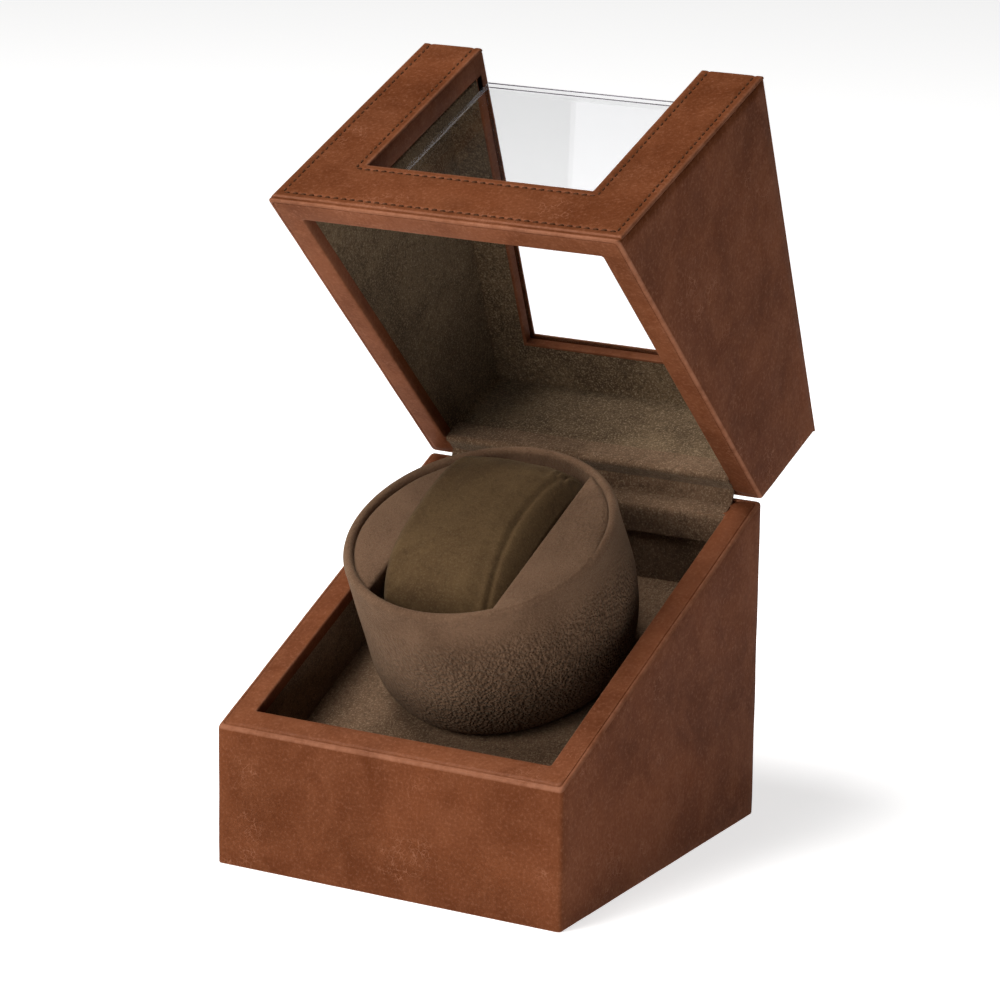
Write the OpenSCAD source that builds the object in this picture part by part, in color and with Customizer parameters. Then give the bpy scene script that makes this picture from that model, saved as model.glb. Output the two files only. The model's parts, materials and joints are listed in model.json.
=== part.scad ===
// Single watch winder box: a wedge-shaped base, a hinged lid with a glass corner window,
// and a tilted drum that a small geared motor turns. Millimetres.
// Origin: centre of the underside. +Z up, -Y is the front, the lid is hinged at the rear (+Y).

/* [Case] */
// Width of the case, left to right
body_w = 130; // [124:1:140]
// Depth of the case, front to rear
body_d = 140; // [136:1:146]
// Height of the base at its front edge
front_h = 48; // [46:1:52]
// Height of the base at its rear edge
rear_h = 112; // [110:1:114]
// Height of the whole case with its lid closed
closed_h = 157; // [155:1:162]
// Angle at which the lid stands open, from closed
lid_open = 69; // [0:1:95]
// Space between the closed rims, square to them
rim_gap = 0.3; // [0.2:0.1:0.6]

/* [Walls] */
// Thickness of the leather cover
leather_t = 1.2; // [0.8:0.1:1.4]
// Thickness of the case boards
board_t = 7; // [6:0.5:7]
// Thickness of the suede lining
lining_t = 0.8; // [0.6:0.1:1]
// Depth of the leather turned in below the rim
turn_in = 3; // [2:0.5:4]
// Thickness of the felt under the base
felt_t = 1; // [0.5:0.5:2]

/* [Lid window] */
// Clear width of the window
window_w = 84; // [70:1:88]
// Height of the front window's lower edge
window_z = 76; // [72:1:84]
// Distance from the top window's rear edge to the rear face
window_rear = 25; // [20:1:40]
// Thickness of the stitched frame plates
plate_t = 1.2; // [1:0.1:1.5]
// Thickness of the lid's front board
lid_front_t = 6; // [5:0.5:6]
// Depth of the glazing frame behind the front board
glazing_d = 6.4; // [5:0.2:6.6]
// Thickness of the glass
glass_t = 2; // [1.5:0.5:2]

/* [Drum] */
// Depth of the deck below the rim, square to it
deck_drop = 24.5; // [22:0.5:26]
// Place of the drum's axis on the deck, front to rear
drum_y = 13.4; // [12:0.2:15]
// Radius of the drum at its foot
drum_foot_r = 39.3; // [37:0.1:40]
// Radius of the drum at its lip
drum_lip_r = 46.6; // [45:0.1:47]
// How far the drum's padding swells beyond a straight wall
drum_pad = 4.7; // [0:0.1:6]
// Height of the lip's top above the deck
drum_top = 57; // [55:0.5:57]
// Width of the slot that holds the pillow
slot_w = 47; // [46:0.5:50]
// Width of the watch pillow
pillow_w = 45.2; // [44:0.2:45.4]
// Height of the pillow's crown above the deck
pillow_top = 65.5; // [63:0.5:66]

/* [Drive] */
// Gear module
gear_m = 0.6; // [0.6:0.1:0.6]
// Teeth on each pinion
pinion_z = 12; // [12:1:12]
// Teeth on the idler's wheel
idler_z = 48; // [48:1:48]
// Teeth on the drum's wheel
output_z = 60; // [60:1:60]
// Radius of the motor can
motor_r = 12; // [10:0.5:12]

/* [Hidden] */
$fn = 64;
eps = 0.01;
far = 300;
PI_DEG = 180 / PI;

leather_col = [0.45, 0.25, 0.15];
suede_col = [0.30, 0.25, 0.18];
pillow_col = [0.38, 0.33, 0.23];
board_col = [0.72, 0.58, 0.42];
felt_col = [0.12, 0.12, 0.12];
glass_col = [0.80, 0.85, 0.88, 0.35];
steel_col = [0.70, 0.71, 0.73];
brass_col = [0.78, 0.62, 0.30];
black_col = [0.08, 0.08, 0.09];
white_col = [0.90, 0.90, 0.86];
green_col = [0.10, 0.35, 0.18];

// Half sizes of each layer, from the outside in
half_w = body_w / 2;
half_d = body_d / 2;
board_x = half_w - leather_t;
board_y = half_d - leather_t;
room_x = board_x - board_t;
room_y = board_y - board_t;
clear_x = room_x - lining_t;
clear_y = room_y - lining_t;
turned_x = room_x - leather_t;
turned_y = room_y - leather_t;

slope = atan((rear_h - front_h) / body_d);
floor_t = 7;
floor_top = felt_t + floor_t;

// Height of the rim plane at y, sunk square to the plane by d
function rim_z(y, d = 0) = front_h + (y + half_d) * tan(slope) - d / cos(slope);

// Side outlines, as y and z: below the rim plane, above it, and between two sunk planes
function below_rim(y0, y1, z0, d) = [[y0, z0], [y1, z0], [y1, rim_z(y1, d)], [y0, rim_z(y0, d)]];
function above_rim(y0, y1, z1, d) = [[y0, z1], [y0, rim_z(y0, d)], [y1, rim_z(y1, d)], [y1, z1]];
function band(y0, y1, low, high) =
    [[y0, rim_z(y0, low)], [y1, rim_z(y1, low)], [y1, rim_z(y1, high)], [y0, rim_z(y0, high)]];

// A side outline stretched from x0 to x1
module prism(x0, x1, outline) {
    translate([x0, 0, 0]) rotate([90, 0, 90]) linear_extrude(x1 - x0) polygon(outline);
}

// A box from its two corners
module block(low, high) {
    translate(low) cube(high - low);
}

// A cylinder along Y from y0 to y1
module rod_y(x, z, r, y0, y1) {
    translate([x, y0, z]) rotate([-90, 0, 0]) cylinder(r = r, h = y1 - y0);
}

// A cylinder along X, centred
module rod_x(r, length) {
    rotate([0, 90, 0]) cylinder(r = r, h = length, center = true);
}

// A cylinder along Z from z0 to z1
module rod_z(x, y, r, z0, z1) {
    translate([x, y, z0]) cylinder(r = r, h = z1 - z0);
}

// The lid's own frame is the closed one; this turns it open about the hinge
module opened() {
    translate([0, half_d, rear_h]) rotate([-lid_open, 0, 0]) translate([0, -half_d, -rear_h]) children();
}

// Frame on the rim plane at x and y, with Z square to the plane
module on_rim(x, y) {
    translate([x, y, rim_z(y)]) rotate([slope, 0, 0]) children();
}

// Frame on the deck, with Z along the drum's axis
module on_deck() {
    translate([0, drum_y, rim_z(drum_y, deck_drop)]) rotate([slope, 0, 0]) children();
}

// ---- Base case ----
rear_x = 36;
plate_low = 14;
plate_high = 42;
control_z = (plate_low + plate_high) / 2;
control_t = 1.4;
control_y = half_d + control_t;
knob_x = -21;
inlet_x = 21;
bushing_r = 3.5;
inlet_r = 5;
rocker_half_w = 6.5;
rocker_half_h = 9;
fit_gap = 0.1;

// Holes that the rear controls need through the rear wall
module control_holes(y0, y1) {
    rod_y(knob_x, control_z, bushing_r + fit_gap, y0, y1);
    rod_y(inlet_x, control_z, inlet_r + fit_gap, y0, y1);
    block([-rocker_half_w - fit_gap, y0, control_z - rocker_half_h - fit_gap],
          [rocker_half_w + fit_gap, y1, control_z + rocker_half_h + fit_gap]);
}

plate_screw_x = 32.5;
plate_screw_dz = 10.5;
plate_screw_in = 5;

module plate_screw_set(r_shank, r_head, head_h) {
    for (x = [-plate_screw_x, plate_screw_x], dz = [-plate_screw_dz, plate_screw_dz]) {
        rod_y(x, control_z + dz, r_shank, half_d - plate_screw_in, control_y);
        rod_y(x, control_z + dz, r_head, control_y, control_y + head_h);
    }
}

hinge_x = 38;
hinge_half = 12;
knuckle_r = 2;
knuckle_half = 4;
pin_r = 0.9;
leaf_t = 0.8;
leaf_reach = 7.8;
leaf_clear = 2.6;
notch_r = knuckle_r + 0.4;
hinge_screw_x = 7;
hinge_screw_y = -5.2;
hinge_screw_r = 0.9;
hinge_head_r = 1.7;
hinge_screw_in = 4;

// Frame on each hinge's axis, with Y along the slope
module at_hinges() {
    for (side = [-1, 1]) translate([side * hinge_x, half_d, rear_h]) rotate([slope, 0, 0]) children();
}

// One leaf: a plate against its board's rim, z0 to z1, and the knuckles at the given places
module leaf(z0, z1, knuckles, tongues) {
    difference() {
        union() {
            block([-hinge_half, -leaf_reach, z0], [hinge_half, -leaf_clear, z1]);
            for (k = knuckles) {
                translate([k, 0, 0]) rod_x(knuckle_r, tongues);
                block([k - tongues / 2, -leaf_clear - eps, z0], [k + tongues / 2, 0, z1]);
            }
        }
        rod_x(pin_r + (len(knuckles) == 1 ? 0.05 : 0), 4 * hinge_half);
        for (x = [-hinge_screw_x, hinge_screw_x]) rod_z(x, hinge_screw_y, hinge_head_r, z0 - 1, z1 + 1);
    }
}

// Room in a board or cover for the knuckles and, between z0 and z1, for the leaf
module hinge_room(z0, z1) {
    at_hinges() {
        rod_x(notch_r, 2 * hinge_half + 0.6);
        block([-hinge_half - fit_gap, -leaf_reach - fit_gap, z0], [hinge_half + fit_gap, 0, z1]);
    }
}

module hinge_screws(z0, z1, tip) {
    at_hinges() for (x = [-hinge_screw_x, hinge_screw_x]) {
        rod_z(x, hinge_screw_y, hinge_head_r, z0, z1);
        rod_z(x, hinge_screw_y, hinge_screw_r, min(tip, z0), max(tip, z1));
    }
}

base_leaf_low = -leather_t - leaf_t;
base_leaf_high = -leather_t;
base_screw_tip = base_leaf_low - hinge_screw_in;
lid_leaf_low = rim_gap + leather_t;
lid_leaf_high = lid_leaf_low + leaf_t;
lid_screw_tip = lid_leaf_high + hinge_screw_in;

magnet_x = 40;
magnet_y = -room_y - 2.8;
magnet_r = 1.5;
magnet_h = 2;

module felt_pad() {
    color(felt_col)
        block([-board_x + fit_gap, -board_y + fit_gap, 0], [board_x - fit_gap, board_y - fit_gap, felt_t]);
}

module floor_board() {
    color(board_col) block([-room_x, -room_y, felt_t], [room_x, room_y, floor_top]);
}

module front_board() {
    color(board_col) difference() {
        prism(-board_x, board_x, below_rim(-board_y, -room_y, felt_t, leather_t));
        for (x = [-magnet_x, magnet_x])
            on_rim(x, magnet_y) rod_z(0, 0, magnet_r, -leather_t - magnet_h, 0);
    }
}

module rear_board() {
    color(board_col) difference() {
        prism(-board_x, board_x, below_rim(room_y, board_y, felt_t, leather_t));
        control_holes(room_y - 1, half_d);
        plate_screw_set(1, 1, 1);
        hinge_room(base_leaf_low, far);
        hinge_screws(base_leaf_low, base_leaf_high, base_screw_tip);
    }
}

module side_boards() {
    color(board_col) for (side = [0, 1]) mirror([side, 0, 0])
        prism(room_x, board_x, below_rim(-room_y, room_y, felt_t, leather_t));
}

module base_leather() {
    color(leather_col) difference() {
        union() {
            difference() {
                prism(-half_w, half_w, below_rim(-half_d, half_d, 0, 0));
                prism(-board_x, board_x, below_rim(-board_y, board_y, -1, leather_t));
            }
            prism(-room_x, room_x, band(-room_y, room_y, leather_t + turn_in, 0));
        }
        block([-turned_x, -turned_y, -1], [turned_x, room_y, far]);
        prism(-turned_x, turned_x, band(room_y - eps, board_y, far, -far));
        control_holes(board_y - 1, half_d + 1);
        plate_screw_set(1, 1, 1);
        hinge_room(base_leaf_low, base_leaf_high);
    }
}

module base_lining() {
    color(suede_col) difference() {
        union() {
            prism(-room_x, room_x, band(-room_y, room_y, deck_drop + lining_t, leather_t + turn_in));
            prism(-turned_x, turned_x, band(clear_y, room_y, leather_t + turn_in + 1, leather_t));
        }
        block([-clear_x, -clear_y, 0], [clear_x, clear_y, far]);
    }
}

liner_drop = 0.4;
liner_end = half_d - leaf_clear * cos(slope);

module base_hinge_liner() {
    color(suede_col)
        prism(-turned_x + fit_gap, turned_x - fit_gap, band(clear_y, liner_end, leather_t - eps, liner_drop));
}

deck_t = 4;
deck_low = deck_drop + lining_t + deck_t;
deck_under = -lining_t - deck_t;
bush_r = 6;

module deck_board() {
    color(board_col) difference() {
        prism(-room_x + fit_gap, room_x - fit_gap,
              band(-room_y + fit_gap, room_y - fit_gap, deck_low, deck_drop + lining_t));
        on_deck() rod_z(0, 0, bush_r, deck_under - 1, 0);
        gearbox_screws();
    }
}

module deck_suede() {
    color(suede_col) difference() {
        prism(-clear_x + fit_gap, clear_x - fit_gap,
              band(-clear_y + fit_gap, clear_y - fit_gap, deck_drop + lining_t - eps, deck_drop));
        on_deck() rod_z(0, 0, bush_r, -2, 2);
    }
}

cleat = 8;
cleat_front = -45;
cleat_rear = 60;

module deck_cleats() {
    color(board_col) for (side = [0, 1]) mirror([side, 0, 0])
        prism(room_x - cleat, room_x, band(cleat_front, cleat_rear, deck_low + cleat, deck_low + eps));
}

module base_magnets() {
    color(steel_col) for (x = [-magnet_x, magnet_x])
        on_rim(x, magnet_y) rod_z(0, 0, magnet_r, -leather_t - magnet_h, -leather_t);
}

module hinge_base_leaves() {
    color(brass_col) at_hinges() leaf(base_leaf_low, base_leaf_high, [-8, 8], 2 * knuckle_half - 0.2);
}

module hinge_pins() {
    color(brass_col) at_hinges() rod_x(pin_r, 2 * hinge_half);
}

module hinge_base_screws() {
    color(brass_col) hinge_screws(base_leaf_low, base_leaf_high, base_screw_tip);
}

// ---- Rear controls ----
module control_plate() {
    color(black_col) difference() {
        block([-rear_x, half_d, plate_low], [rear_x, control_y, plate_high]);
        control_holes(half_d - 1, control_y + 1);
        plate_screw_set(1, 1, 1);
    }
}

module plate_screws() {
    color(steel_col) plate_screw_set(1, 2, 1);
}

selector_back = room_y - 9;
shaft_end = selector_back + 3;
shaft_r = 3;
run_gap = 0.05;

module selector_switch() {
    color(black_col) difference() {
        union() {
            block([knob_x - 7, selector_back, control_z - 7], [knob_x + 7, room_y, control_z + 7]);
            rod_y(knob_x, control_z, bushing_r, room_y, control_y);
        }
        rod_y(knob_x, control_z, shaft_r + run_gap, shaft_end - fit_gap, control_y + 1);
    }
}

knob_r = 8;
knob_gap = 0.6;
knob_face = control_y + 11;
knob_flutes = 18;

module selector_shaft() {
    color(steel_col) rod_y(knob_x, control_z, shaft_r, shaft_end, knob_face - 3);
}

module selector_knob() {
    color(black_col) difference() {
        union() {
            rod_y(knob_x, control_z, knob_r, control_y + knob_gap, knob_face - 1);
            rod_y(knob_x, control_z, knob_r - 1, knob_face - 1, knob_face);
        }
        rod_y(knob_x, control_z, shaft_r, control_y, knob_face - 3);
        translate([knob_x, 0, control_z])
            for (i = [0 : knob_flutes - 1]) rotate([0, i * 360 / knob_flutes, 0])
                rod_y(knob_r + 0.3, 0, 0.8, control_y + 2, knob_face + 1);
        block([knob_x - 0.5, knob_face - 0.6, control_z + 1.5],
              [knob_x + 0.5, knob_face + 1, control_z + knob_r - 1.5]);
    }
}

rocker_pivot_y = control_y - 2;
rocker_tilt = 8;
rocker_room_w = 5;
rocker_room_h = 7.7;
rocker_w = 4.7;
rocker_h = 7;
rocker_pin_r = 0.9;

module rocker_housing() {
    color(black_col) difference() {
        union() {
            block([-rocker_half_w, room_y - 6, control_z - rocker_half_h],
                  [rocker_half_w, control_y, control_z + rocker_half_h]);
            block([-rocker_half_w - 1.5, control_y, control_z - rocker_half_h - 1.5],
                  [rocker_half_w + 1.5, control_y + 1.4, control_z + rocker_half_h + 1.5]);
        }
        block([-rocker_room_w, room_y, control_z - rocker_room_h],
              [rocker_room_w, far, control_z + rocker_room_h]);
        translate([0, rocker_pivot_y, control_z]) rod_x(rocker_pin_r + run_gap, 2 * rocker_room_w + 2);
    }
}

module rocker() {
    color(black_col) translate([0, rocker_pivot_y, control_z]) rotate([rocker_tilt, 0, 0]) {
        rotate([90, 0, 90]) linear_extrude(2 * rocker_w, center = true)
            polygon([[-5, -2], [-5, 2], [1.6, rocker_h], [4.2, rocker_h],
                     [3.2, 0], [4.2, -rocker_h], [1.6, -rocker_h]]);
        rod_x(rocker_pin_r, 2 * rocker_room_w + 1.6);
    }
}

inlet_bore_r = 2.9;
inlet_pin_r = 1;
inlet_back = room_y - 4;
inlet_face = control_y + 1.2;

module dc_inlet() {
    color(black_col) difference() {
        union() {
            rod_y(inlet_x, control_z, inlet_r, inlet_back, control_y);
            rod_y(inlet_x, control_z, inlet_r + 1.5, control_y, inlet_face);
        }
        rod_y(inlet_x, control_z, inlet_bore_r, inlet_face - 10, inlet_face + 1);
    }
    color(steel_col) rod_y(inlet_x, control_z, inlet_pin_r, inlet_face - 10, inlet_face - 1);
}

// ---- Circuit board and wiring ----
pcb_x = -30;
pcb_y = 28;
pcb_w = 40;
pcb_d = 34;
pcb_low = floor_top + 4;
pcb_high = pcb_low + 1.6;
pcb_hole_dx = pcb_w / 2 - 3;
pcb_hole_dy = pcb_d / 2 - 3;

module at_pcb_holes() {
    for (dx = [-pcb_hole_dx, pcb_hole_dx], dy = [-pcb_hole_dy, pcb_hole_dy])
        translate([pcb_x + dx, pcb_y + dy, 0]) children();
}

module circuit_board() {
    color(green_col) difference() {
        block([pcb_x - pcb_w / 2, pcb_y - pcb_d / 2, pcb_low],
              [pcb_x + pcb_w / 2, pcb_y + pcb_d / 2, pcb_high]);
        at_pcb_holes() rod_z(0, 0, 1.25, floor_top, pcb_high + 1);
    }
}

module board_spacers() {
    color(brass_col) at_pcb_holes() {
        rod_z(0, 0, 2.4, floor_top, pcb_low);
        rod_z(0, 0, 1.25, pcb_low, pcb_high);
        rod_z(0, 0, 2.2, pcb_high, pcb_high + 1.2);
    }
}

plug_y = pcb_y + pcb_d / 2 - 9;
plug_pitch = 10;

module board_parts() {
    color(black_col) {
        block([pcb_x - 6, pcb_y - 7, pcb_high], [pcb_x + 6, pcb_y + 1, pcb_high + 1.8]);
        rod_z(pcb_x - 12, pcb_y, 3.2, pcb_high, pcb_high + 7);
        rod_z(pcb_x + 12, pcb_y - 6, 2.2, pcb_high, pcb_high + 6);
    }
    color(white_col) for (i = [0 : 2])
        block([pcb_x - 14 + i * plug_pitch, plug_y, pcb_high],
              [pcb_x - 6 + i * plug_pitch, plug_y + 5, pcb_high + 5]);
}

wire_r = 0.7;
wire_sides = 8;
wire_ref = [0.31, 0.22, 0.92];

// A wire swept along its points: one ring of corners at each point, square to the route
function unit(v) = v / norm(v);
function wire_way(points, i) = unit(points[min(i + 1, len(points) - 1)] - points[max(i - 1, 0)]);
function wire_ring(p, way) =
    let (u = unit(cross(way, wire_ref)), v = cross(way, u))
    [for (k = [0 : wire_sides - 1]) let (a = k * 360 / wire_sides) p + wire_r * (cos(a) * u + sin(a) * v)];

module wire(points) {
    last = len(points) - 1;
    corners = [for (i = [0 : last]) each wire_ring(points[i], wire_way(points, i))];
    sides = [for (i = [0 : last - 1], k = [0 : wire_sides - 1])
        let (a = i * wire_sides + k, b = i * wire_sides + (k + 1) % wire_sides)
        each [[a, a + wire_sides, b + wire_sides], [a, b + wire_sides, b]]];
    ends = [[for (k = [0 : wire_sides - 1]) k],
            [for (k = [wire_sides - 1 : -1 : 0]) last * wire_sides + k]];
    polyhedron(corners, concat(sides, ends));
}

plug_z = pcb_high + 2.5;

module internal_wiring() {
    color("crimson") {
        wire([[knob_x, selector_back, control_z], [knob_x, selector_back - 2, control_z],
              [pcb_x, plug_y + 10, plug_z], [pcb_x, plug_y + 5, plug_z]]);
        wire([[0, room_y - 6, control_z], [0, room_y - 9, control_z],
              [pcb_x + 8, plug_y + 10, plug_z], [pcb_x + 8, plug_y + 5, plug_z]]);
        wire([[inlet_x, inlet_back, control_z], [inlet_x, inlet_back - 4, control_z],
              [4, 49, 14], [pcb_x + 12, plug_y + 10, plug_z], [pcb_x + 12, plug_y + 5, plug_z]]);
        wire([deck_point([motor_tag[0], motor_tag[1], motor_low]),
              deck_point([motor_tag[0], motor_tag[1], motor_low - 3]),
              [-6, 12, 12], [-20, 6, 11], [-51.5, 8, 11], [-52.5, 50, 14], [pcb_x - 10, plug_y + 10, plug_z],
              [pcb_x - 10, plug_y + 5, plug_z]]);
    }
}

// ---- Gears and motor, in the deck's frame ----
tooth_pa = 25;
backlash = 0.12;
addendum = 0.9;
dedendum = 1.3;
flank_steps = 4;

function pitch_r(z) = gear_m * z / 2;
function inv(angle) = tan(angle) * PI_DEG - angle;
function half_tooth(z, r) =
    (gear_m * PI / 2 - backlash) / 2 / pitch_r(z) * PI_DEG + inv(tooth_pa)
    - inv(acos(min(1, pitch_r(z) * cos(tooth_pa) / r)));
function on_circle(r, angle) = [r * cos(angle), r * sin(angle)];
function tooth(z, mid) =
    let (root = pitch_r(z) - dedendum * gear_m, tip = pitch_r(z) + addendum * gear_m)
    let (start = max(root, pitch_r(z) * cos(tooth_pa)))
    concat(
        [on_circle(root, mid - half_tooth(z, start))],
        [for (i = [0 : flank_steps]) let (r = start + (tip - start) * i / flank_steps)
            on_circle(r, mid - half_tooth(z, r))],
        [for (i = [flank_steps : -1 : 0]) let (r = start + (tip - start) * i / flank_steps)
            on_circle(r, mid + half_tooth(z, r))],
        [on_circle(root, mid + half_tooth(z, start))]);

// A spur gear with a tooth centred on its X axis
module spur(z, thick) {
    linear_extrude(thick) polygon([for (i = [0 : z - 1]) each tooth(z, i * 360 / z)]);
}

idler_angle = -19;
motor_angle = 226;
idler_dist = pitch_r(output_z) + pitch_r(pinion_z);
motor_dist = pitch_r(idler_z) + pitch_r(pinion_z);
idler_at = on_circle(idler_dist, idler_angle);
motor_at = idler_at + on_circle(motor_dist, motor_angle);

cover_t = 2;
cover_low = deck_under - cover_t;
gear_t = 5;
output_high = cover_low - 0.5;
output_low = output_high - gear_t;
wheel_high = output_low - 0.8;
wheel_low = wheel_high - gear_t;
tray_floor = wheel_low - 0.8;
tray_low = tray_floor - 2;
tray_wall = 2;
box_low = [-21.5, -27];
box_high = [38.5, 21.5];
box_screw_in = 3.5;
box_screw_r = 1.4;
axle_r = 1.5;
motor_shaft_r = 1;
motor_h = 16;
motor_low = tray_low - motor_h;
motor_boss_r = 3.4;
motor_screw_r = 8.5;
clip_high = tray_low - 2.2;
spindle_low = clip_high - 1.4;
spindle_r = 3;
hub_top = 14;

function deck_point(p) = [p[0], drum_y + p[1] * cos(slope) - p[2] * sin(slope),
                          rim_z(drum_y, deck_drop) + p[1] * sin(slope) + p[2] * cos(slope)];
motor_tag = [motor_at[0] - 5, motor_at[1]];

module at_box_corners() {
    for (x = [box_low[0] + box_screw_in, box_high[0] - box_screw_in],
         y = [box_low[1] + box_screw_in, box_high[1] - box_screw_in]) translate([x, y, 0]) children();
}

module at_motor_screws() {
    for (turn = [0, 180]) translate([motor_at[0], motor_at[1], 0]) rotate([0, 0, turn])
        translate([motor_screw_r, 0, 0]) children();
}

// Four screws hold the gearbox to the deck, and two hold the motor to the gearbox
module gearbox_screws() {
    color(steel_col) on_deck() {
        at_box_corners() {
            rod_z(0, 0, 2.8, tray_low - 1.6, tray_low);
            rod_z(0, 0, box_screw_r, tray_low, deck_under + 2);
        }
        at_motor_screws() {
            rod_z(0, 0, 1.9, tray_floor - 1.2, tray_floor);
            rod_z(0, 0, 1, tray_low - 2.4, tray_floor - 1.2);
        }
    }
}

module gearbox_cover() {
    color(white_col) difference() {
        on_deck() difference() {
            block([box_low[0], box_low[1], cover_low], [box_high[0], box_high[1], deck_under - eps]);
            rod_z(0, 0, bush_r, cover_low - 1, deck_under + 1);
            rod_z(idler_at[0], idler_at[1], axle_r, cover_low - 1, cover_low + 1);
        }
        gearbox_screws();
    }
}

module gearbox_tray() {
    color(white_col) difference() {
        on_deck() difference() {
            union() {
                difference() {
                    block([box_low[0], box_low[1], tray_low], [box_high[0], box_high[1], cover_low]);
                    block([box_low[0] + tray_wall, box_low[1] + tray_wall, tray_floor],
                          [box_high[0] - tray_wall, box_high[1] - tray_wall, cover_low + 1]);
                }
                at_box_corners() rod_z(0, 0, 3.4, tray_floor - eps, cover_low);
                rod_z(0, 0, 5.5, tray_low - 2, tray_floor);
            }
            rod_z(0, 0, spindle_r + run_gap, tray_low - 3, tray_floor + 1);
            rod_z(idler_at[0], idler_at[1], axle_r, tray_floor - 1.5, tray_floor + 1);
            rod_z(motor_at[0], motor_at[1], motor_boss_r + fit_gap, tray_low - 1, tray_floor + 1);
        }
        gearbox_screws();
    }
}

module idler_axle() {
    color(steel_col) on_deck() rod_z(idler_at[0], idler_at[1], axle_r, tray_floor - 1.5, cover_low + 1);
}

module idler_gear() {
    color(white_col) on_deck() translate([idler_at[0], idler_at[1], 0]) difference() {
        union() {
            translate([0, 0, wheel_low]) rotate([0, 0, motor_angle]) spur(idler_z, gear_t);
            translate([0, 0, wheel_high - eps]) rotate([0, 0, idler_angle + 180 + 180 / pinion_z])
                spur(pinion_z, output_high - wheel_high);
        }
        rod_z(0, 0, axle_r + run_gap, wheel_low - 1, output_high + 1);
    }
}

module motor_pinion() {
    color(brass_col) on_deck() translate([motor_at[0], motor_at[1], wheel_low]) difference() {
        rotate([0, 0, motor_angle + 180 + 180 / pinion_z]) spur(pinion_z, gear_t);
        rod_z(0, 0, motor_shaft_r, -1, gear_t + 1);
    }
}

can_t = 1;

module motor_can() {
    color(steel_col) difference() {
        on_deck() translate([motor_at[0], motor_at[1], 0]) difference() {
            union() {
                rod_z(0, 0, motor_r, motor_low, tray_low);
                rod_z(0, 0, motor_boss_r, tray_low, tray_floor - 0.2);
            }
            rod_z(0, 0, motor_r - can_t, motor_low + 1.5, tray_low - 3);
            rod_z(0, 0, motor_shaft_r + run_gap, motor_low + 0.5, tray_floor + 1);
        }
        gearbox_screws();
    }
}

module motor_rotor() {
    color(steel_col) on_deck() translate([motor_at[0], motor_at[1], 0]) {
        rod_z(0, 0, motor_shaft_r, motor_low + 0.8, wheel_high);
        rod_z(0, 0, motor_r - can_t - 2.5, motor_low + 3, tray_low - 4);
    }
}

module drum_bush() {
    color(brass_col) on_deck() difference() {
        union() {
            rod_z(0, 0, bush_r, cover_low, 0);
            rod_z(0, 0, bush_r + 3, 0, 1);
        }
        rod_z(0, 0, spindle_r + run_gap, cover_low - 1, 2);
    }
}

// ---- Drum ----
drum_low = 1.5;
cover_skin = 1;
lip_r = 2.2;
lip_z = drum_top - lip_r;
cup_t = 2;
cup_low = 2;
cup_floor = 5;
cup_top = lip_z - lip_r - 0.4;
cheek_top = drum_top - 0.6;
cheek_t = 3;
cheek_wall = 2;
cheek_r = drum_lip_r - 2 * lip_r - 0.2;

// Radius of the drum's outside, and of the cup's, at height z
function drum_r(z) = drum_foot_r + (z - drum_low) * (drum_lip_r - drum_foot_r) / (lip_z - drum_low);
function cup_r(z) = drum_r(z) - cover_skin - eps;

// Radius of the padded cover: it swells just above the foot and meets the lip flush
function cover_r(z) = drum_r(z) + drum_pad * sin(180 * pow((z - drum_low) / (lip_z - drum_low), 0.55));

module drum_cover() {
    cover_steps = [0, 0.02, 0.06, 0.12, 0.2, 0.3, 0.42, 0.56, 0.7, 0.85, 1];
    color(suede_col) on_deck() rotate_extrude($fn = 96) {
        polygon([for (t = cover_steps) let (z = drum_low + t * (lip_z - drum_low)) [cover_r(z), z],
                 [drum_r(lip_z) - cover_skin, lip_z], [drum_r(drum_low) - cover_skin, drum_low]]);
        translate([drum_lip_r - lip_r, lip_z]) circle(r = lip_r, $fn = 32);
    }
}

module drum_cup() {
    color(black_col) on_deck() rotate_extrude($fn = 96)
        polygon([[spindle_r, cup_low], [cup_r(cup_low), cup_low], [cup_r(cup_top), cup_top],
                 [cup_r(cup_top) - cup_t, cup_top], [cup_r(cup_floor) - cup_t, cup_floor],
                 [9, cup_floor], [9, hub_top], [spindle_r, hub_top]]);
}

// A crescent top with an upright wall beside the slot, one on each side
module drum_cheeks() {
    color(suede_col) on_deck() for (side = [0, 1]) mirror([side, 0, 0]) {
        intersection() {
            rod_z(0, 0, cheek_r, cheek_top - cheek_t, cheek_top);
            block([slot_w / 2, -far, 0], [far, far, far]);
        }
        intersection() {
            rotate_extrude($fn = 96) polygon([[0, cup_floor], [cup_r(cup_floor) - cup_t - fit_gap, cup_floor],
                [cup_r(cup_top) - cup_t - fit_gap - 2, cheek_top - cheek_t], [0, cheek_top - cheek_t]]);
            block([slot_w / 2, -far, 0], [slot_w / 2 + cheek_wall, far, far]);
        }
    }
}

module drum_spindle() {
    color(steel_col) on_deck() difference() {
        rod_z(0, 0, spindle_r, spindle_low, hub_top);
        rod_z(0, 0, 1.25, hub_top - 9, hub_top + 1);
    }
}

module hub_screw() {
    color(steel_col) on_deck() {
        rod_z(0, 0, 1.25, hub_top - 9, hub_top);
        rod_z(0, 0, 5, hub_top, hub_top + 1.6);
    }
}

module spindle_clip() {
    color(steel_col) on_deck() difference() {
        rod_z(0, 0, 5, clip_high - 1, clip_high);
        rod_z(0, 0, spindle_r, clip_high - 2, clip_high + 1);
    }
}

module output_gear() {
    color(white_col) on_deck() translate([0, 0, output_low]) difference() {
        rotate([0, 0, idler_angle]) spur(output_z, gear_t);
        rod_z(0, 0, spindle_r, -1, gear_t + 1);
    }
}

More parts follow.
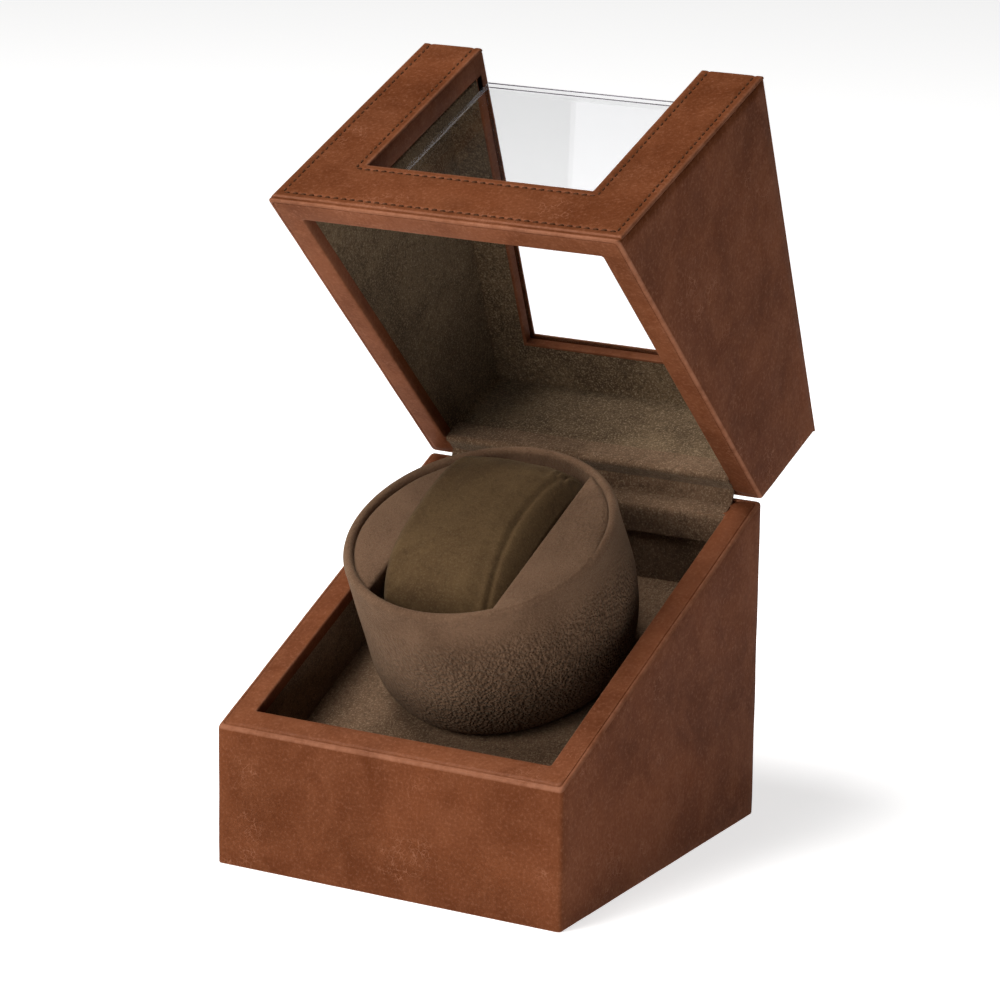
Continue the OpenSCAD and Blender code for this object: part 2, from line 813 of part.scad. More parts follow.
// ---- Watch pillow ----
pillow_mid = 40;
pillow_half = 37.6;
pillow_rise = pillow_top - pillow_mid;
pillow_fall = pillow_mid - hub_top - 3;
pillow_skin = 1.5;
pillow_front_power = 0.8;
pillow_rear_power = 0.62;
pillow_tilt = 0.07;
pillow_steps = 40;

// Side outline of the pillow, inset by t: a rounded oval, fuller at its rear end, which sits higher
function pillow_outline(t) = [for (i = [0 : pillow_steps - 1])
    let (a = i * 360 / pillow_steps, c = cos(a), s = sin(a), h = s > 0 ? pillow_rise : pillow_fall,
         p = c > 0 && s > 0 ? pillow_rear_power : pillow_front_power,
         v = (pillow_half - t) * sign(c) * pow(abs(c), p))
    [v, pillow_mid + (h - t) * sign(s) * pow(abs(s), p) + pillow_tilt * v]];

module pillow_form(t) {
    intersection() {
        rotate([90, 0, 90]) linear_extrude(pillow_w - 2 * t, center = true) polygon(pillow_outline(t));
        rotate_extrude($fn = 96) polygon([[0, 0], [cup_r(0) - cup_t - 0.8 - t, 0],
            [cup_r(cup_top) - cup_t - 2.4 - t, cup_top], [cup_r(cup_top) - cup_t - 2.4 - t, far], [0, far]]);
    }
}

module pillow_cover() {
    color(pillow_col) on_deck() difference() {
        pillow_form(0);
        pillow_form(pillow_skin);
    }
}

module pillow_core() {
    color("khaki") on_deck() pillow_form(pillow_skin);
}

// ---- Lid, in the closed frame ----
frame_z = 3;
skin_front = -half_d + plate_t;
skin_top = closed_h - plate_t;
lid_board_front = skin_front + leather_t;
lid_board_back = lid_board_front + lid_front_t;
lid_board_top = skin_top - leather_t;
lid_top_t = 3.8;
lid_board_low = lid_board_top - lid_top_t;
lid_ceiling = lid_board_low - lining_t;
lid_clear_front = lid_board_back + lining_t;
lid_turned_front = lid_board_back + leather_t;
glazing_back = lid_clear_front + glazing_d;
pane_back = glazing_back - 0.2;
pane_front = pane_back - glass_t;
half_win = window_w / 2;
win_rear = half_d - window_rear;
lid_rim = rim_gap + leather_t;
top_glass_high = skin_top;
top_glass_low = skin_top - glass_t;

// The window's two cuts, grown by t at every edge: through the front, and through the top
module front_window(t, y0, y1) {
    block([-half_win - t, y0, window_z - t], [half_win + t, y1, far]);
}

module top_window(t) {
    block([-half_win - t, -far, lid_ceiling - 1], [half_win + t, win_rear + t, far]);
}

module lid_front_board() {
    color(board_col) opened() difference() {
        prism(-board_x, board_x, above_rim(lid_board_front, lid_board_back, lid_board_top, -lid_rim));
        front_window(leather_t, -far, 0);
        for (x = [-magnet_x, magnet_x])
            on_rim(x, magnet_y) rod_z(0, 0, magnet_r, 0, lid_rim + magnet_h);
    }
}

module lid_side_boards() {
    color(board_col) opened() for (side = [0, 1]) mirror([side, 0, 0])
        prism(room_x, board_x, above_rim(lid_board_back, room_y, lid_board_low, -lid_rim));
}

module lid_rear_board() {
    color(board_col) opened() difference() {
        prism(-board_x, board_x, above_rim(room_y, board_y, lid_board_low, -lid_rim));
        hinge_room(-far, lid_leaf_high);
        hinge_screws(lid_leaf_low, lid_leaf_high, lid_screw_tip);
    }
}

module lid_top_board() {
    color(board_col) opened() difference() {
        block([-board_x, lid_board_back, lid_board_low], [board_x, board_y, lid_board_top]);
        top_window(leather_t);
    }
}

module lid_leather() {
    color(leather_col) opened() difference() {
        union() {
            difference() {
                prism(-half_w, half_w, above_rim(skin_front, half_d, skin_top, -rim_gap));
                prism(-board_x, board_x, above_rim(lid_board_front, board_y, lid_board_top, -lid_rim));
            }
            prism(-room_x, room_x, band(lid_board_back, room_y, -rim_gap, -lid_rim - turn_in));
            block([-half_win - leather_t, skin_front, window_z - leather_t],
                  [half_win + leather_t, lid_board_back, skin_top]);
            block([-half_win - leather_t, lid_board_back - eps, lid_board_low],
                  [half_win + leather_t, win_rear + leather_t, skin_top]);
        }
        block([-turned_x, lid_turned_front, 0], [turned_x, room_y, lid_board_low - eps]);
        prism(-turned_x, turned_x, band(room_y - eps, board_y + eps, far, -lid_rim));
        front_window(0, -far, 0);
        top_window(0);
        block([-half_win - leather_t, pane_back, top_glass_low],
              [half_win + leather_t, win_rear + leather_t, far]);
        hinge_room(lid_leaf_low - eps, lid_leaf_high);
    }
}

module lid_lining() {
    color(suede_col) opened() difference() {
        union() {
            prism(-room_x, room_x, above_rim(lid_board_back, room_y, lid_board_low, -lid_rim - turn_in));
            prism(-turned_x, turned_x, band(clear_y, room_y, -lid_rim, -lid_rim - turn_in - 1));
        }
        block([-clear_x, lid_clear_front, 0], [clear_x, clear_y, lid_ceiling]);
        front_window(2, -far, lid_clear_front + 1);
        top_window(0);
    }
}

module lid_hinge_liner() {
    color(suede_col) opened()
        prism(-turned_x + fit_gap, turned_x - fit_gap,
              band(clear_y, liner_end, -lid_rim + lining_t, -lid_rim + eps));
}

module front_frame() {
    color(leather_col) opened() difference() {
        block([-half_w + 0.2, -half_d, front_h + frame_z], [half_w - 0.2, skin_front, closed_h]);
        front_window(0, -far, 0);
    }
}

module top_frame() {
    color(leather_col) opened() difference() {
        block([-half_w + 0.2, skin_front, skin_top], [half_w - 0.2, half_d, closed_h]);
        top_window(0);
    }
}

glazing_side = 10;

module glazing_frame() {
    color(suede_col) opened() difference() {
        block([-half_win - glazing_side, lid_clear_front, window_z - glazing_side],
              [half_win + glazing_side, glazing_back, lid_ceiling]);
        front_window(0, -far, 0);
    }
}

module front_glass() {
    color(glass_col) opened()
        block([-half_win, pane_front, window_z], [half_win, pane_back, closed_h - 0.2]);
}

module top_glass() {
    color(glass_col) opened()
        block([-half_win - leather_t, pane_back, top_glass_low],
              [half_win + leather_t, win_rear + leather_t, top_glass_high]);
}

module lid_magnets() {
    color(steel_col) opened() for (x = [-magnet_x, magnet_x])
        on_rim(x, magnet_y) rod_z(0, 0, magnet_r, lid_rim, lid_rim + magnet_h);
}

module hinge_lid_leaves() {
    color(brass_col) opened() at_hinges() leaf(lid_leaf_low, lid_leaf_high, [0], 2 * knuckle_half - 0.2);
}

module hinge_lid_screws() {
    color(brass_col) opened() hinge_screws(lid_leaf_low, lid_leaf_high, lid_screw_tip);
}

felt_pad();
floor_board();
front_board();
rear_board();
side_boards();
base_leather();
base_lining();
base_hinge_liner();
deck_board();
deck_suede();
deck_cleats();
base_magnets();
hinge_base_leaves();
hinge_pins();
hinge_base_screws();
control_plate();
plate_screws();
selector_switch();
selector_shaft();
selector_knob();
rocker_housing();
rocker();
dc_inlet();
circuit_board();
board_spacers();
board_parts();
internal_wiring();
gearbox_cover();
gearbox_tray();
gearbox_screws();
idler_axle();
idler_gear();
motor_pinion();
motor_can();
motor_rotor();
drum_bush();
drum_cover();
drum_cup();
drum_cheeks();
drum_spindle();
spindle_clip();
hub_screw();
output_gear();
pillow_cover();
pillow_core();
lid_front_board();
lid_side_boards();
lid_rear_board();
lid_top_board();
lid_leather();
lid_lining();
lid_hinge_liner();
front_frame();
top_frame();
glazing_frame();
front_glass();
top_glass();
lid_magnets();
hinge_lid_leaves();
hinge_lid_screws();
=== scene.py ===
"""Watch winder box: the visual model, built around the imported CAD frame. Metres; helper shapes are worked in mm."""
import json
import math

import bmesh
import bpy
import numpy as np
from mathutils import Matrix, Vector, noise


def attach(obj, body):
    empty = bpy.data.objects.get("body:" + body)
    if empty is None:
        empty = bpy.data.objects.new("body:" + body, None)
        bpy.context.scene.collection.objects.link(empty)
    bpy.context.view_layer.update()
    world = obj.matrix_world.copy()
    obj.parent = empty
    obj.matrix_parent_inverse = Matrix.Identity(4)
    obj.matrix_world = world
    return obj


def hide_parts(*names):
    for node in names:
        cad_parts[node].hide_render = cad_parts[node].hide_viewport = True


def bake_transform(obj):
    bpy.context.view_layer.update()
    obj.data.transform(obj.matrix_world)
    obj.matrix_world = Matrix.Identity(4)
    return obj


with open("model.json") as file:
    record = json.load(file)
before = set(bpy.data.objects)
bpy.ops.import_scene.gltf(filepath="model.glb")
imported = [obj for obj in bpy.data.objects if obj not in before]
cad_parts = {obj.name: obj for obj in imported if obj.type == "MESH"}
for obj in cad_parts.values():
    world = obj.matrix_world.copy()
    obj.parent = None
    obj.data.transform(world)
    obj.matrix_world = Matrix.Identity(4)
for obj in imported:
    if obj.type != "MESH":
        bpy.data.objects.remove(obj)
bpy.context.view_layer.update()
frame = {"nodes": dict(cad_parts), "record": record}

MM = 0.001

# ---- Sizes of the CAD model, in mm ----
HALF_W, HALF_D = 65.0, 70.0
FRONT_H, REAR_H, CLOSED_H = 48.0, 112.0, 157.0
LID_OPEN = math.radians(69)
SLOPE = math.atan2(REAR_H - FRONT_H, 2 * HALF_D)
LEATHER = 1.2
TURN_IN = 3.0
TURNED_X, TURNED_Y = 55.6, 60.6
ROOM_X, ROOM_Y = 56.8, 61.8
CLEAR_X, CLEAR_Y = 56.0, 61.0
BOARD_X, BOARD_Y = 63.8, 68.8
RIM_GAP = 0.3
HALF_WIN, WIN_Z, WIN_REAR = 42.0, 76.0, 45.0
PLATE = 1.2
PLATE_LOW = 51.0
CEILING = 150.0
DECK_DROP = 24.5
DRUM_Y = 13.4
DECK_Z = FRONT_H + (DRUM_Y + HALF_D) * math.tan(SLOPE) - DECK_DROP / math.cos(SLOPE)


def rim_z(y, sunk=0.0):
    """Height of the rim plane at y, sunk square to the plane."""
    return FRONT_H + (y + HALF_D) * math.tan(SLOPE) - sunk / math.cos(SLOPE)


def opened(p):
    """A point of the closed lid, turned open about the hinge."""
    y, z = p[1] - HALF_D, p[2] - REAR_H
    c, s = math.cos(LID_OPEN), math.sin(LID_OPEN)
    return (p[0], HALF_D + c * y + s * z, REAR_H - s * y + c * z)


def on_deck(p):
    """A point of the drum's frame: x, v up the slope, w along the drum's axis."""
    c, s = math.cos(SLOPE), math.sin(SLOPE)
    return (p[0], DRUM_Y + p[1] * c - p[2] * s, DECK_Z + p[1] * s + p[2] * c)


def same(p):
    return p


def smooth(a, b, x):
    t = min(1.0, max(0.0, (x - a) / (b - a)))
    return t * t * (3 - 2 * t)


# ---- Mesh helpers ----
def piece(name, verts, faces, body, mat, place=same, wear_and_painted_light=None, sharp=48, replaces=()):
    """A mesh from points in mm, put in place, smooth but for its sharp edges, riding on its body."""
    mesh = bpy.data.meshes.new(name)
    mesh.from_pydata([tuple(c * MM for c in place(v)) for v in verts], [], faces)
    mesh.validate()
    if wear_and_painted_light is not None:
        # Per-point values for the materials: leather rub and painted highlight, the thread's painted highlight and
        # shade, and the drum's pebbled patch with its painted shade.
        layer = mesh.attributes.new("wear_and_painted_light", "FLOAT", "POINT")
        layer.data.foreach_set("value", np.array(wear_and_painted_light, np.float32))
    bm = bmesh.new()
    bm.from_mesh(mesh)
    bmesh.ops.recalc_face_normals(bm, faces=bm.faces)
    bm.to_mesh(mesh)
    bm.free()
    mesh.shade_smooth()
    mesh.set_sharp_from_angle(angle=math.radians(sharp))
    mesh.materials.append(mat)
    obj = bpy.data.objects.new(name, mesh)
    bpy.context.scene.collection.objects.link(obj)
    if body:
        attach(obj, body)
    if replaces:
        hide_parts(*replaces)
    return obj


def perimeter(n_side=36, n_corner=5):
    """A rounded rectangle's stations, the same for every ring: corner or side, its number, and how far along it."""
    out = []
    for q in range(4):
        for i in range(n_corner):
            out.append(("c", q, i / (n_corner - 1)))
        for i in range(1, n_side):
            out.append(("s", q, i / n_side))
    return out


PERIM = perimeter()


def ring(hx, y0, y1, r, height):
    """One ring of a loft: a rounded rectangle from -hx to hx and y0 to y1, with a height for each x and y."""
    corners = [(hx - r, y0 + r, -90), (hx - r, y1 - r, 0), (-hx + r, y1 - r, 90), (-hx + r, y0 + r, 180)]
    out = []
    for kind, q, t in PERIM:
        cx, cy, a0 = corners[q]
        if kind == "c":
            a = math.radians(a0 + 90 * t)
            x, y = cx + r * math.cos(a), cy + r * math.sin(a)
        else:
            nx, ny, _ = corners[(q + 1) % 4]
            a = math.radians(a0 + 90)
            ox, oy = r * math.cos(a), r * math.sin(a)
            x, y = cx + ox + (nx - cx) * t, cy + oy + (ny - cy) * t
        out.append((x, y, height(x, y)))
    return out


class Rings:
    """The rings of a loft, with the rub and painted highlight of each."""

    def __init__(self):
        self.rings, self.wear_and_painted_light = [], []

    def add(self, hx, y0, y1, r, height, rub_and_highlight=0.0):
        self.rings.append(ring(hx, y0, y1, r, height))
        self.wear_and_painted_light.append(rub_and_highlight)


def loft(rings, closed=True, cap=False):
    """Faces between rings of the same count; closed joins the last to the first, cap fills both ends."""
    n, m = len(rings[0]), len(rings)
    verts = [p for r in rings for p in r]
    faces = []
    for i in range(m if closed else m - 1):
        a, b = i * n, ((i + 1) % m) * n
        faces += [(a + k, a + (k + 1) % n, b + (k + 1) % n, b + k) for k in range(n)]
    if cap:
        faces += [tuple(range(n - 1, -1, -1)), tuple((m - 1) * n + k for k in range(n))]
    return verts, faces


def wavy(p, size, amount, seed=0.0):
    """A small smooth offset at a point, in mm."""
    return amount * noise.noise(Vector((p[0] / size + seed, p[1] / size, p[2] / size)))


# ---- Materials ----
class Nodes:
    """A material's node tree, built one node at a time."""

    def __init__(self, name):
        self.mat = bpy.data.materials.new(name)
        self.mat.use_nodes = True
        self.tree = self.mat.node_tree
        self.tree.nodes.clear()
        self.out = self.add("OutputMaterial")
        self.coord = self.add("TexCoord").outputs["Object"]

    def add(self, kind, inputs=None, **props):
        node = self.tree.nodes.new("ShaderNode" + kind)
        for key, value in props.items():
            setattr(node, key, value)
        for key, value in (inputs or {}).items():
            socket = node.inputs[key]
            if isinstance(value, bpy.types.NodeSocket):
                self.tree.links.new(value, socket)
            else:
                socket.default_value = value
        return node

    def noise(self, scale, detail=3.0, rough=0.55, distortion=0.0, vector=None):
        return self.add("TexNoise", {"Vector": vector or self.coord, "Scale": scale, "Detail": detail,
                                     "Roughness": rough, "Distortion": distortion}).outputs["Fac"]

    def cells(self, scale, feature="DISTANCE_TO_EDGE", vector=None):
        inputs = {"Vector": vector or self.coord, "Scale": scale}
        return self.add("TexVoronoi", inputs, feature=feature).outputs["Distance"]

    def span(self, value, a, b, c=0.0, d=1.0):
        inputs = {"Value": value, "From Min": a, "From Max": b, "To Min": c, "To Max": d}
        return self.add("MapRange", inputs).outputs["Result"]

    def wear_and_painted_light(self):
        """A point attribute from 0 to 1: rubbing and a painted highlight on leather edges, a painted highlight along
        a stitch's middle, the pebbled patch of the drum's suede.
        """
        return self.add("Attribute", attribute_name="wear_and_painted_light").outputs["Fac"]

    def math(self, op, a, b=0.0, clamp=False):
        node = self.add("Math", operation=op, use_clamp=clamp)
        for i, v in enumerate((a, b)):
            if isinstance(v, bpy.types.NodeSocket):
                self.tree.links.new(v, node.inputs[i])
            else:
                node.inputs[i].default_value = v
        return node.outputs[0]

    def mix(self, fac, a, b):
        node = self.add("Mix", data_type="RGBA")
        for socket, v in ((node.inputs[0], fac), (node.inputs[6], a), (node.inputs[7], b)):
            if isinstance(v, bpy.types.NodeSocket):
                self.tree.links.new(v, socket)
            else:
                socket.default_value = v if isinstance(v, float) else (*v, 1.0)[:4]
        return node.outputs[2]

    def warp(self, scale, amount):
        """The coordinate pushed about by a noise, so that cells and bands don't look regular."""
        push = self.add("TexNoise", {"Vector": self.coord, "Scale": scale, "Detail": 2.0}).outputs["Color"]
        move = self.add("VectorMath", {0: push, 1: (0.5, 0.5, 0.5)}, operation="SUBTRACT").outputs[0]
        part = self.add("VectorMath", {0: move, "Scale": amount}, operation="SCALE").outputs[0]
        return self.add("VectorMath", {0: self.coord, 1: part}, operation="ADD").outputs[0]

    def bump(self, height, strength, distance):
        return self.add("Bump", {"Height": height, "Strength": strength, "Distance": distance}).outputs["Normal"]

    def surface(self, **inputs):
        shader = self.add("BsdfPrincipled", {k.replace("_", " "): v for k, v in inputs.items()})
        self.tree.links.new(shader.outputs[0], self.out.inputs[0])
        return self.mat


def scaled(colour, k):
    return tuple(c * k for c in colour)


def leather(name, dark, mid, light, edge):
    """Semi-gloss leather: soft clouds of colour, a fine cross grain, patches of pale creases, and edges lightened by
    rubbing and a painted highlight.
    """
    g = Nodes(name)
    broad = g.noise(22, 4, 0.55, 0.7)
    blotch = g.noise(70, 5, 0.6, 0.8)
    small = g.noise(900, 4, 0.65)
    colour = g.mix(g.span(broad, 0.36, 0.64), dark, mid)
    colour = g.mix(g.math("MULTIPLY", g.span(blotch, 0.40, 0.66), 0.42), colour, light)
    colour = g.mix(g.math("MULTIPLY", g.span(small, 0.52, 0.72), 0.22), colour, edge)
    colour = g.mix(g.math("MULTIPLY", g.span(small, 0.48, 0.30), 0.25), colour, scaled(dark, 0.5))
    patch = g.math("MULTIPLY", g.span(g.noise(44, 2, 0.5), 0.585, 0.66),
                   g.span(g.noise(300, 2, 0.5), 0.42, 0.56))
    crease = g.span(g.cells(560, vector=g.warp(220, 0.004)), 0.07, 0.0)
    crease_mask = g.math("MULTIPLY", crease, patch, True)
    colour = g.mix(g.math("MULTIPLY", crease_mask, 0.42), colour, edge)
    # Lighter edges from the point attribute: rubbing, plus a painted highlight along the rounded edges.
    rub_and_highlight_mask = g.math("MULTIPLY", g.wear_and_painted_light(), g.span(g.noise(240, 4), 0.25, 0.62, 0.35, 1.0), True)
    colour = g.mix(g.math("MULTIPLY", rub_and_highlight_mask, 0.55), colour, edge)
    pores = g.cells(1700, vector=g.warp(900, 0.0012))
    height = g.math("ADD", g.math("MULTIPLY", g.span(pores, 0.0, 0.14), 0.30),
                    g.math("MULTIPLY", crease_mask, 0.8))
    height = g.math("ADD", height, g.math("MULTIPLY", small, 0.6))
    normal = g.bump(height, 0.26, 0.0002)
    rough = g.span(g.noise(120, 4), 0.3, 0.7, 0.36, 0.50)
    return g.surface(Base_Color=colour, Roughness=rough, Normal=normal, Coat_Weight=0.03, Coat_Roughness=0.18,
                     Specular_IOR_Level=0.0, Metallic=0.12)


def suede(name, dark, mid, light, speck=0.5, pebble=0.0, sheen=0.25):
    """Napped suede: brushed clouds, a fine two-tone speckle and a soft sheen. A pebbled one has raised grains
    with painted shade between them, where its point attribute says so."""
    g = Nodes(name)
    cloud = g.noise(30, 4, 0.6, 0.8)
    colour = g.mix(g.span(cloud, 0.34, 0.66), dark, mid)
    fine = g.noise(1500, 3, 0.75)
    grain = g.noise(620, 3, 0.7)
    colour = g.mix(g.math("MULTIPLY", g.span(fine, 0.50, 0.66), speck), colour, light)
    colour = g.mix(g.math("MULTIPLY", g.span(grain, 0.50, 0.34), speck * 0.9), colour, scaled(dark, 0.42))
    height = g.math("ADD", fine, g.math("MULTIPLY", grain, 0.8))
    if pebble:
        cells = g.cells(820, "F1", g.warp(260, 0.0022))
        region = g.wear_and_painted_light()
        bumps = g.math("MULTIPLY", g.span(cells, 0.0, 0.8, 1.0, 0.0), g.math("MULTIPLY", region, pebble))
        height = g.math("ADD", height, bumps)
        # Painted shade in the hollows between the pebbles.
        shade = g.math("MULTIPLY", g.math("MULTIPLY", g.span(cells, 0.40, 0.75), region), 0.50)
        colour = g.mix(shade, colour, scaled(dark, 0.45))
    normal = g.bump(height, 0.7 if pebble else 0.55, 0.0008 if pebble else 0.00045)
    return g.surface(Base_Color=colour, Roughness=0.93, Normal=normal, Sheen_Weight=sheen, Sheen_Roughness=0.45,
                     Sheen_Tint=(0.80, 0.68, 0.50, 1.0), Specular_IOR_Level=0.03)


def plain(name, colour, rough, metal=0.0, bump=0.0, scale=900.0, vary=0.12, coat=0.0, stretch=None):
    """Plastic, metal, board or felt: a slightly uneven colour and a fine surface texture."""
    g = Nodes(name)
    vector = g.coord
    if stretch:
        vector = g.add("VectorMath", {0: g.coord, 1: stretch}, operation="MULTIPLY").outputs[0]
    n = g.noise(scale, 4, 0.6, vector=vector)
    m = g.noise(scale / 14, 3, 0.6)
    base = g.mix(g.span(m, 0.35, 0.65), scaled(colour, 1 - vary), tuple(min(1, c) for c in scaled(colour, 1 + vary)))
    base = g.mix(g.math("MULTIPLY", g.span(n, 0.45, 0.65), vary), base, scaled(colour, 0.6))
    inputs = {"Base_Color": base, "Roughness": g.span(n, 0.3, 0.7, rough * 0.88, min(1, rough * 1.12)),
              "Metallic": metal, "Coat_Weight": coat}
    if bump:
        inputs["Normal"] = g.bump(n, bump, 0.00018)
    return g.surface(**inputs)


def thread(name, deep, top):
    """Waxed thread: twisted plies, with painted shade where it dips into its holes and a painted highlight along the
    middle of each stitch, where its point attribute is 1.
    """
    g = Nodes(name)
    ply = g.noise(2600, 2, 0.6, 1.0)
    # deep is the painted shade at the holes, top the painted highlight at mid stitch.
    colour = g.mix(g.span(g.wear_and_painted_light(), 0.35, 0.95), deep, top)
    colour = g.mix(g.math("MULTIPLY", g.span(ply, 0.45, 0.62), 0.4), colour, deep)
    return g.surface(Base_Color=colour, Roughness=0.55, Normal=g.bump(ply, 0.5, 0.0002), Specular_IOR_Level=0.02)


def glass(name):
    """A clean pane: clear straight through, with a gloss that grows at a slant."""
    g = Nodes(name)
    clear = g.add("BsdfTransparent", {"Color": (0.992, 0.994, 0.996, 1)})
    gloss = g.add("BsdfGlossy", {"Color": (0.94, 0.93, 0.97, 1), "Roughness": 0.02})
    slant = g.math("POWER", g.add("LayerWeight", {"Blend": 0.5}).outputs["Facing"], 2.0)
    veil = g.math("ADD", g.math("MULTIPLY", slant, 0.20), 0.042)
    shader = g.add("MixShader", {0: veil, 1: clear.outputs[0], 2: gloss.outputs[0]})
    g.tree.links.new(shader.outputs[0], g.out.inputs[0])
    return g.mat


# The last colour is the pale one of the specks, the creases, and the edges' rubbing and painted highlight.
HIDE = leather("case_leather", (0.094, 0.027, 0.0095), (0.138, 0.042, 0.016), (0.180, 0.062, 0.027),
               (0.34, 0.150, 0.088))
LINING = suede("lining_suede", (0.078, 0.044, 0.025), (0.150, 0.089, 0.053), (0.33, 0.235, 0.15), 0.50)
LID_SUEDE = suede("lid_suede", (0.058, 0.035, 0.0185), (0.130, 0.086, 0.048), (0.34, 0.25, 0.16), 0.62)
# Pebbled, with painted shade between the pebbles.
DRUM_SUEDE = suede("drum_suede", (0.105, 0.058, 0.034), (0.170, 0.098, 0.059), (0.27, 0.18, 0.115),
                   speck=0.24, pebble=2.6, sheen=0.12)
PILLOW_SUEDE = suede("pillow_suede", (0.062, 0.036, 0.017), (0.100, 0.061, 0.028), (0.17, 0.115, 0.06),
                     speck=0.30, sheen=0.08)
# The thread's painted shade colour at its holes, then its painted highlight colour at mid stitch.
THREAD = thread("stitch_thread", (0.008, 0.003, 0.0015), (0.085, 0.034, 0.015))
BOARD = plain("fibreboard", (0.50, 0.36, 0.22), 0.85, bump=0.3, scale=700, vary=0.2)
FELT = plain("felt", (0.018, 0.018, 0.019), 0.98, bump=0.8, scale=1600, vary=0.3)
BRASS = plain("brass", (0.72, 0.52, 0.22), 0.34, 1.0, 0.05, 600, 0.06, stretch=(0.2, 1, 1))
STEEL = plain("steel", (0.56, 0.57, 0.59), 0.32, 1.0, 0.05, 900, 0.05, stretch=(1, 1, 0.1))
NICKEL = plain("nickel", (0.66, 0.65, 0.63), 0.16, 1.0, 0.02, 900, 0.03)
BLACK = plain("black_plastic", (0.016, 0.016, 0.018), 0.52, bump=0.25, scale=2600)
GLOSS_BLACK = plain("switch_plastic", (0.012, 0.012, 0.014), 0.22, bump=0.03, scale=900, coat=0.2)
WHITE = plain("gear_plastic", (0.78, 0.77, 0.71), 0.45, bump=0.05, scale=1500, vary=0.04)
GREEN = plain("solder_mask", (0.02, 0.13, 0.055), 0.30, bump=0.1, scale=500, vary=0.2, coat=0.3)
PARTS = plain("components", (0.05, 0.05, 0.055), 0.5, bump=0.1, scale=1200)
WIRE = plain("wire_insulation", (0.42, 0.03, 0.025), 0.40, scale=800, vary=0.08)
FOAM = plain("foam", (0.66, 0.60, 0.42), 0.95, bump=0.8, scale=1500, vary=0.1)
PANE = glass("pane")

BY_SLOT = {"board": BOARD, "felt": FELT, "brass": BRASS, "steel": STEEL, "magnet": NICKEL, "black_plastic": BLACK,
           "switch_plastic": GLOSS_BLACK, "gear_plastic": WHITE, "circuit": GREEN, "components": PARTS, "wire": WIRE,
           "foam": FOAM, "glass": PANE, "leather": HIDE, "lining_suede": LINING, "pillow_suede": PILLOW_SUEDE}
for part in frame["record"]["subparts"]:
    node = frame["nodes"][part["node"]]
    node.data.materials.clear()
    node.data.materials.append(BY_SLOT[part["material_slot"]])

# ---- Leather covers of base and lid ----
EDGE = 1.1        # rounding of the covers' outer rims
OUTLINE_R = 1.3   # rounding of their upright corners
BOTTOM_GAP = 0.5  # the foot's turn at the base's lower edge
WALL_ROWS = 22


def rear_relief(x, y):
    """How far the rear rim's leather is sunk, where the suede strip crosses it."""
    across = smooth(TURNED_X + 0.15, TURNED_X - 0.35, abs(x))
    return 0.95 * across * smooth(CLEAR_Y - 0.6, CLEAR_Y + 0.2, y) * smooth(BOARD_Y + 0.1, BOARD_Y - 0.4, y)


def case_shell(shell, rim, wall):
    """Add a leather cover's wall and sloping rim: rim(y, d) is the rim plane sunk by d into the leather,
    wall(t, y) the height of a wall point, t from 0 at the far edge to 1 at the rim."""

    def on_rim(inset, r, sunk, rub_and_highlight):
        shell.add(HALF_W - inset, -HALF_D + inset, HALF_D - inset, r,
                  lambda x, y: rim(y, sunk + rear_relief(x, y)), rub_and_highlight)

    for i in range(WALL_ROWS):
        shell.add(HALF_W, -HALF_D, HALF_D, OUTLINE_R, lambda x, y: wall(i / (WALL_ROWS - 1), y))
    # The edge-rounding rings carry the most rub and painted highlight, peaking half way round.
    for i in range(1, 6):
        a = math.radians(90 * i / 5)
        on_rim(EDGE * (1 - math.cos(a)), OUTLINE_R, EDGE * (1 - math.sin(a)), 0.55 + 0.45 * math.sin(2 * a))
    for inset, sunk, rub_and_highlight in ((0.18, 0.03, 0.4), (0.34, 0.24, 0.0), (0.50, 0.03, 0.3)):
        on_rim(inset + EDGE, OUTLINE_R, sunk, rub_and_highlight)
    flat = 6
    for i in range(1, flat + 1):
        k = i / flat
        crown = -0.12 * math.sin(math.pi * k)
        on_rim(EDGE + 0.5 + (HALF_W - TURNED_X - EDGE - 1.2) * k, 1.2, crown, 0.18)
    for i in range(1, 4):
        a = math.radians(90 * i / 3)
        on_rim(HALF_W - TURNED_X - 0.7 + 0.7 * math.sin(a), 0.9, 0.7 * (1 - math.cos(a)), 0.6)


def finish_shell(name, shell, body, place, replaces):
    """The closed cover, its walls very slightly uneven."""
    verts, faces = loft(shell.rings)
    rub_and_highlight = [w for w in shell.wear_and_painted_light for _ in PERIM]
    moved = []
    for p in verts:
        d = wavy(p, 17, 0.10, 3.1) + wavy(p, 5, 0.035, 7.7)
        moved.append((p[0] + (d if abs(p[0]) > 60 else 0), p[1] + (d if abs(p[1]) > 66 else 0), p[2]))
    return piece(name, moved, faces, body, HIDE, place, rub_and_highlight, replaces=replaces)


def base_cover():
    shell = Rings()
    shell.add(BOARD_X, -BOARD_Y, BOARD_Y, 0.4, lambda x, y: 0.0, 0.2)
    shell.add(HALF_W - 0.45, -HALF_D + 0.45, HALF_D - 0.45, 1.2, lambda x, y: 0.0, 0.5)
    shell.add(HALF_W - 0.12, -HALF_D + 0.12, HALF_D - 0.12, 1.3, lambda x, y: 0.14, 0.6)
    case_shell(shell, rim_z, lambda t, y: BOTTOM_GAP + t * (rim_z(y, EDGE) - BOTTOM_GAP))
    under = LEATHER + TURN_IN
    for hx, hy, sunk, rub_and_highlight in ((TURNED_X, TURNED_Y, 2.4, 0.1), (TURNED_X, TURNED_Y, under, 0.0),
                               (ROOM_X, ROOM_Y, under, 0.0), (ROOM_X, ROOM_Y, LEATHER + 1.0, 0.0),
                               (BOARD_X, BOARD_Y, LEATHER + 1.0, 0.0)):
        shell.add(hx, -hy, hy, 0.7, lambda x, y: rim_z(y, sunk), rub_and_highlight)
    return finish_shell("base_leather_cover", shell, "base", same, ["base_leather"])


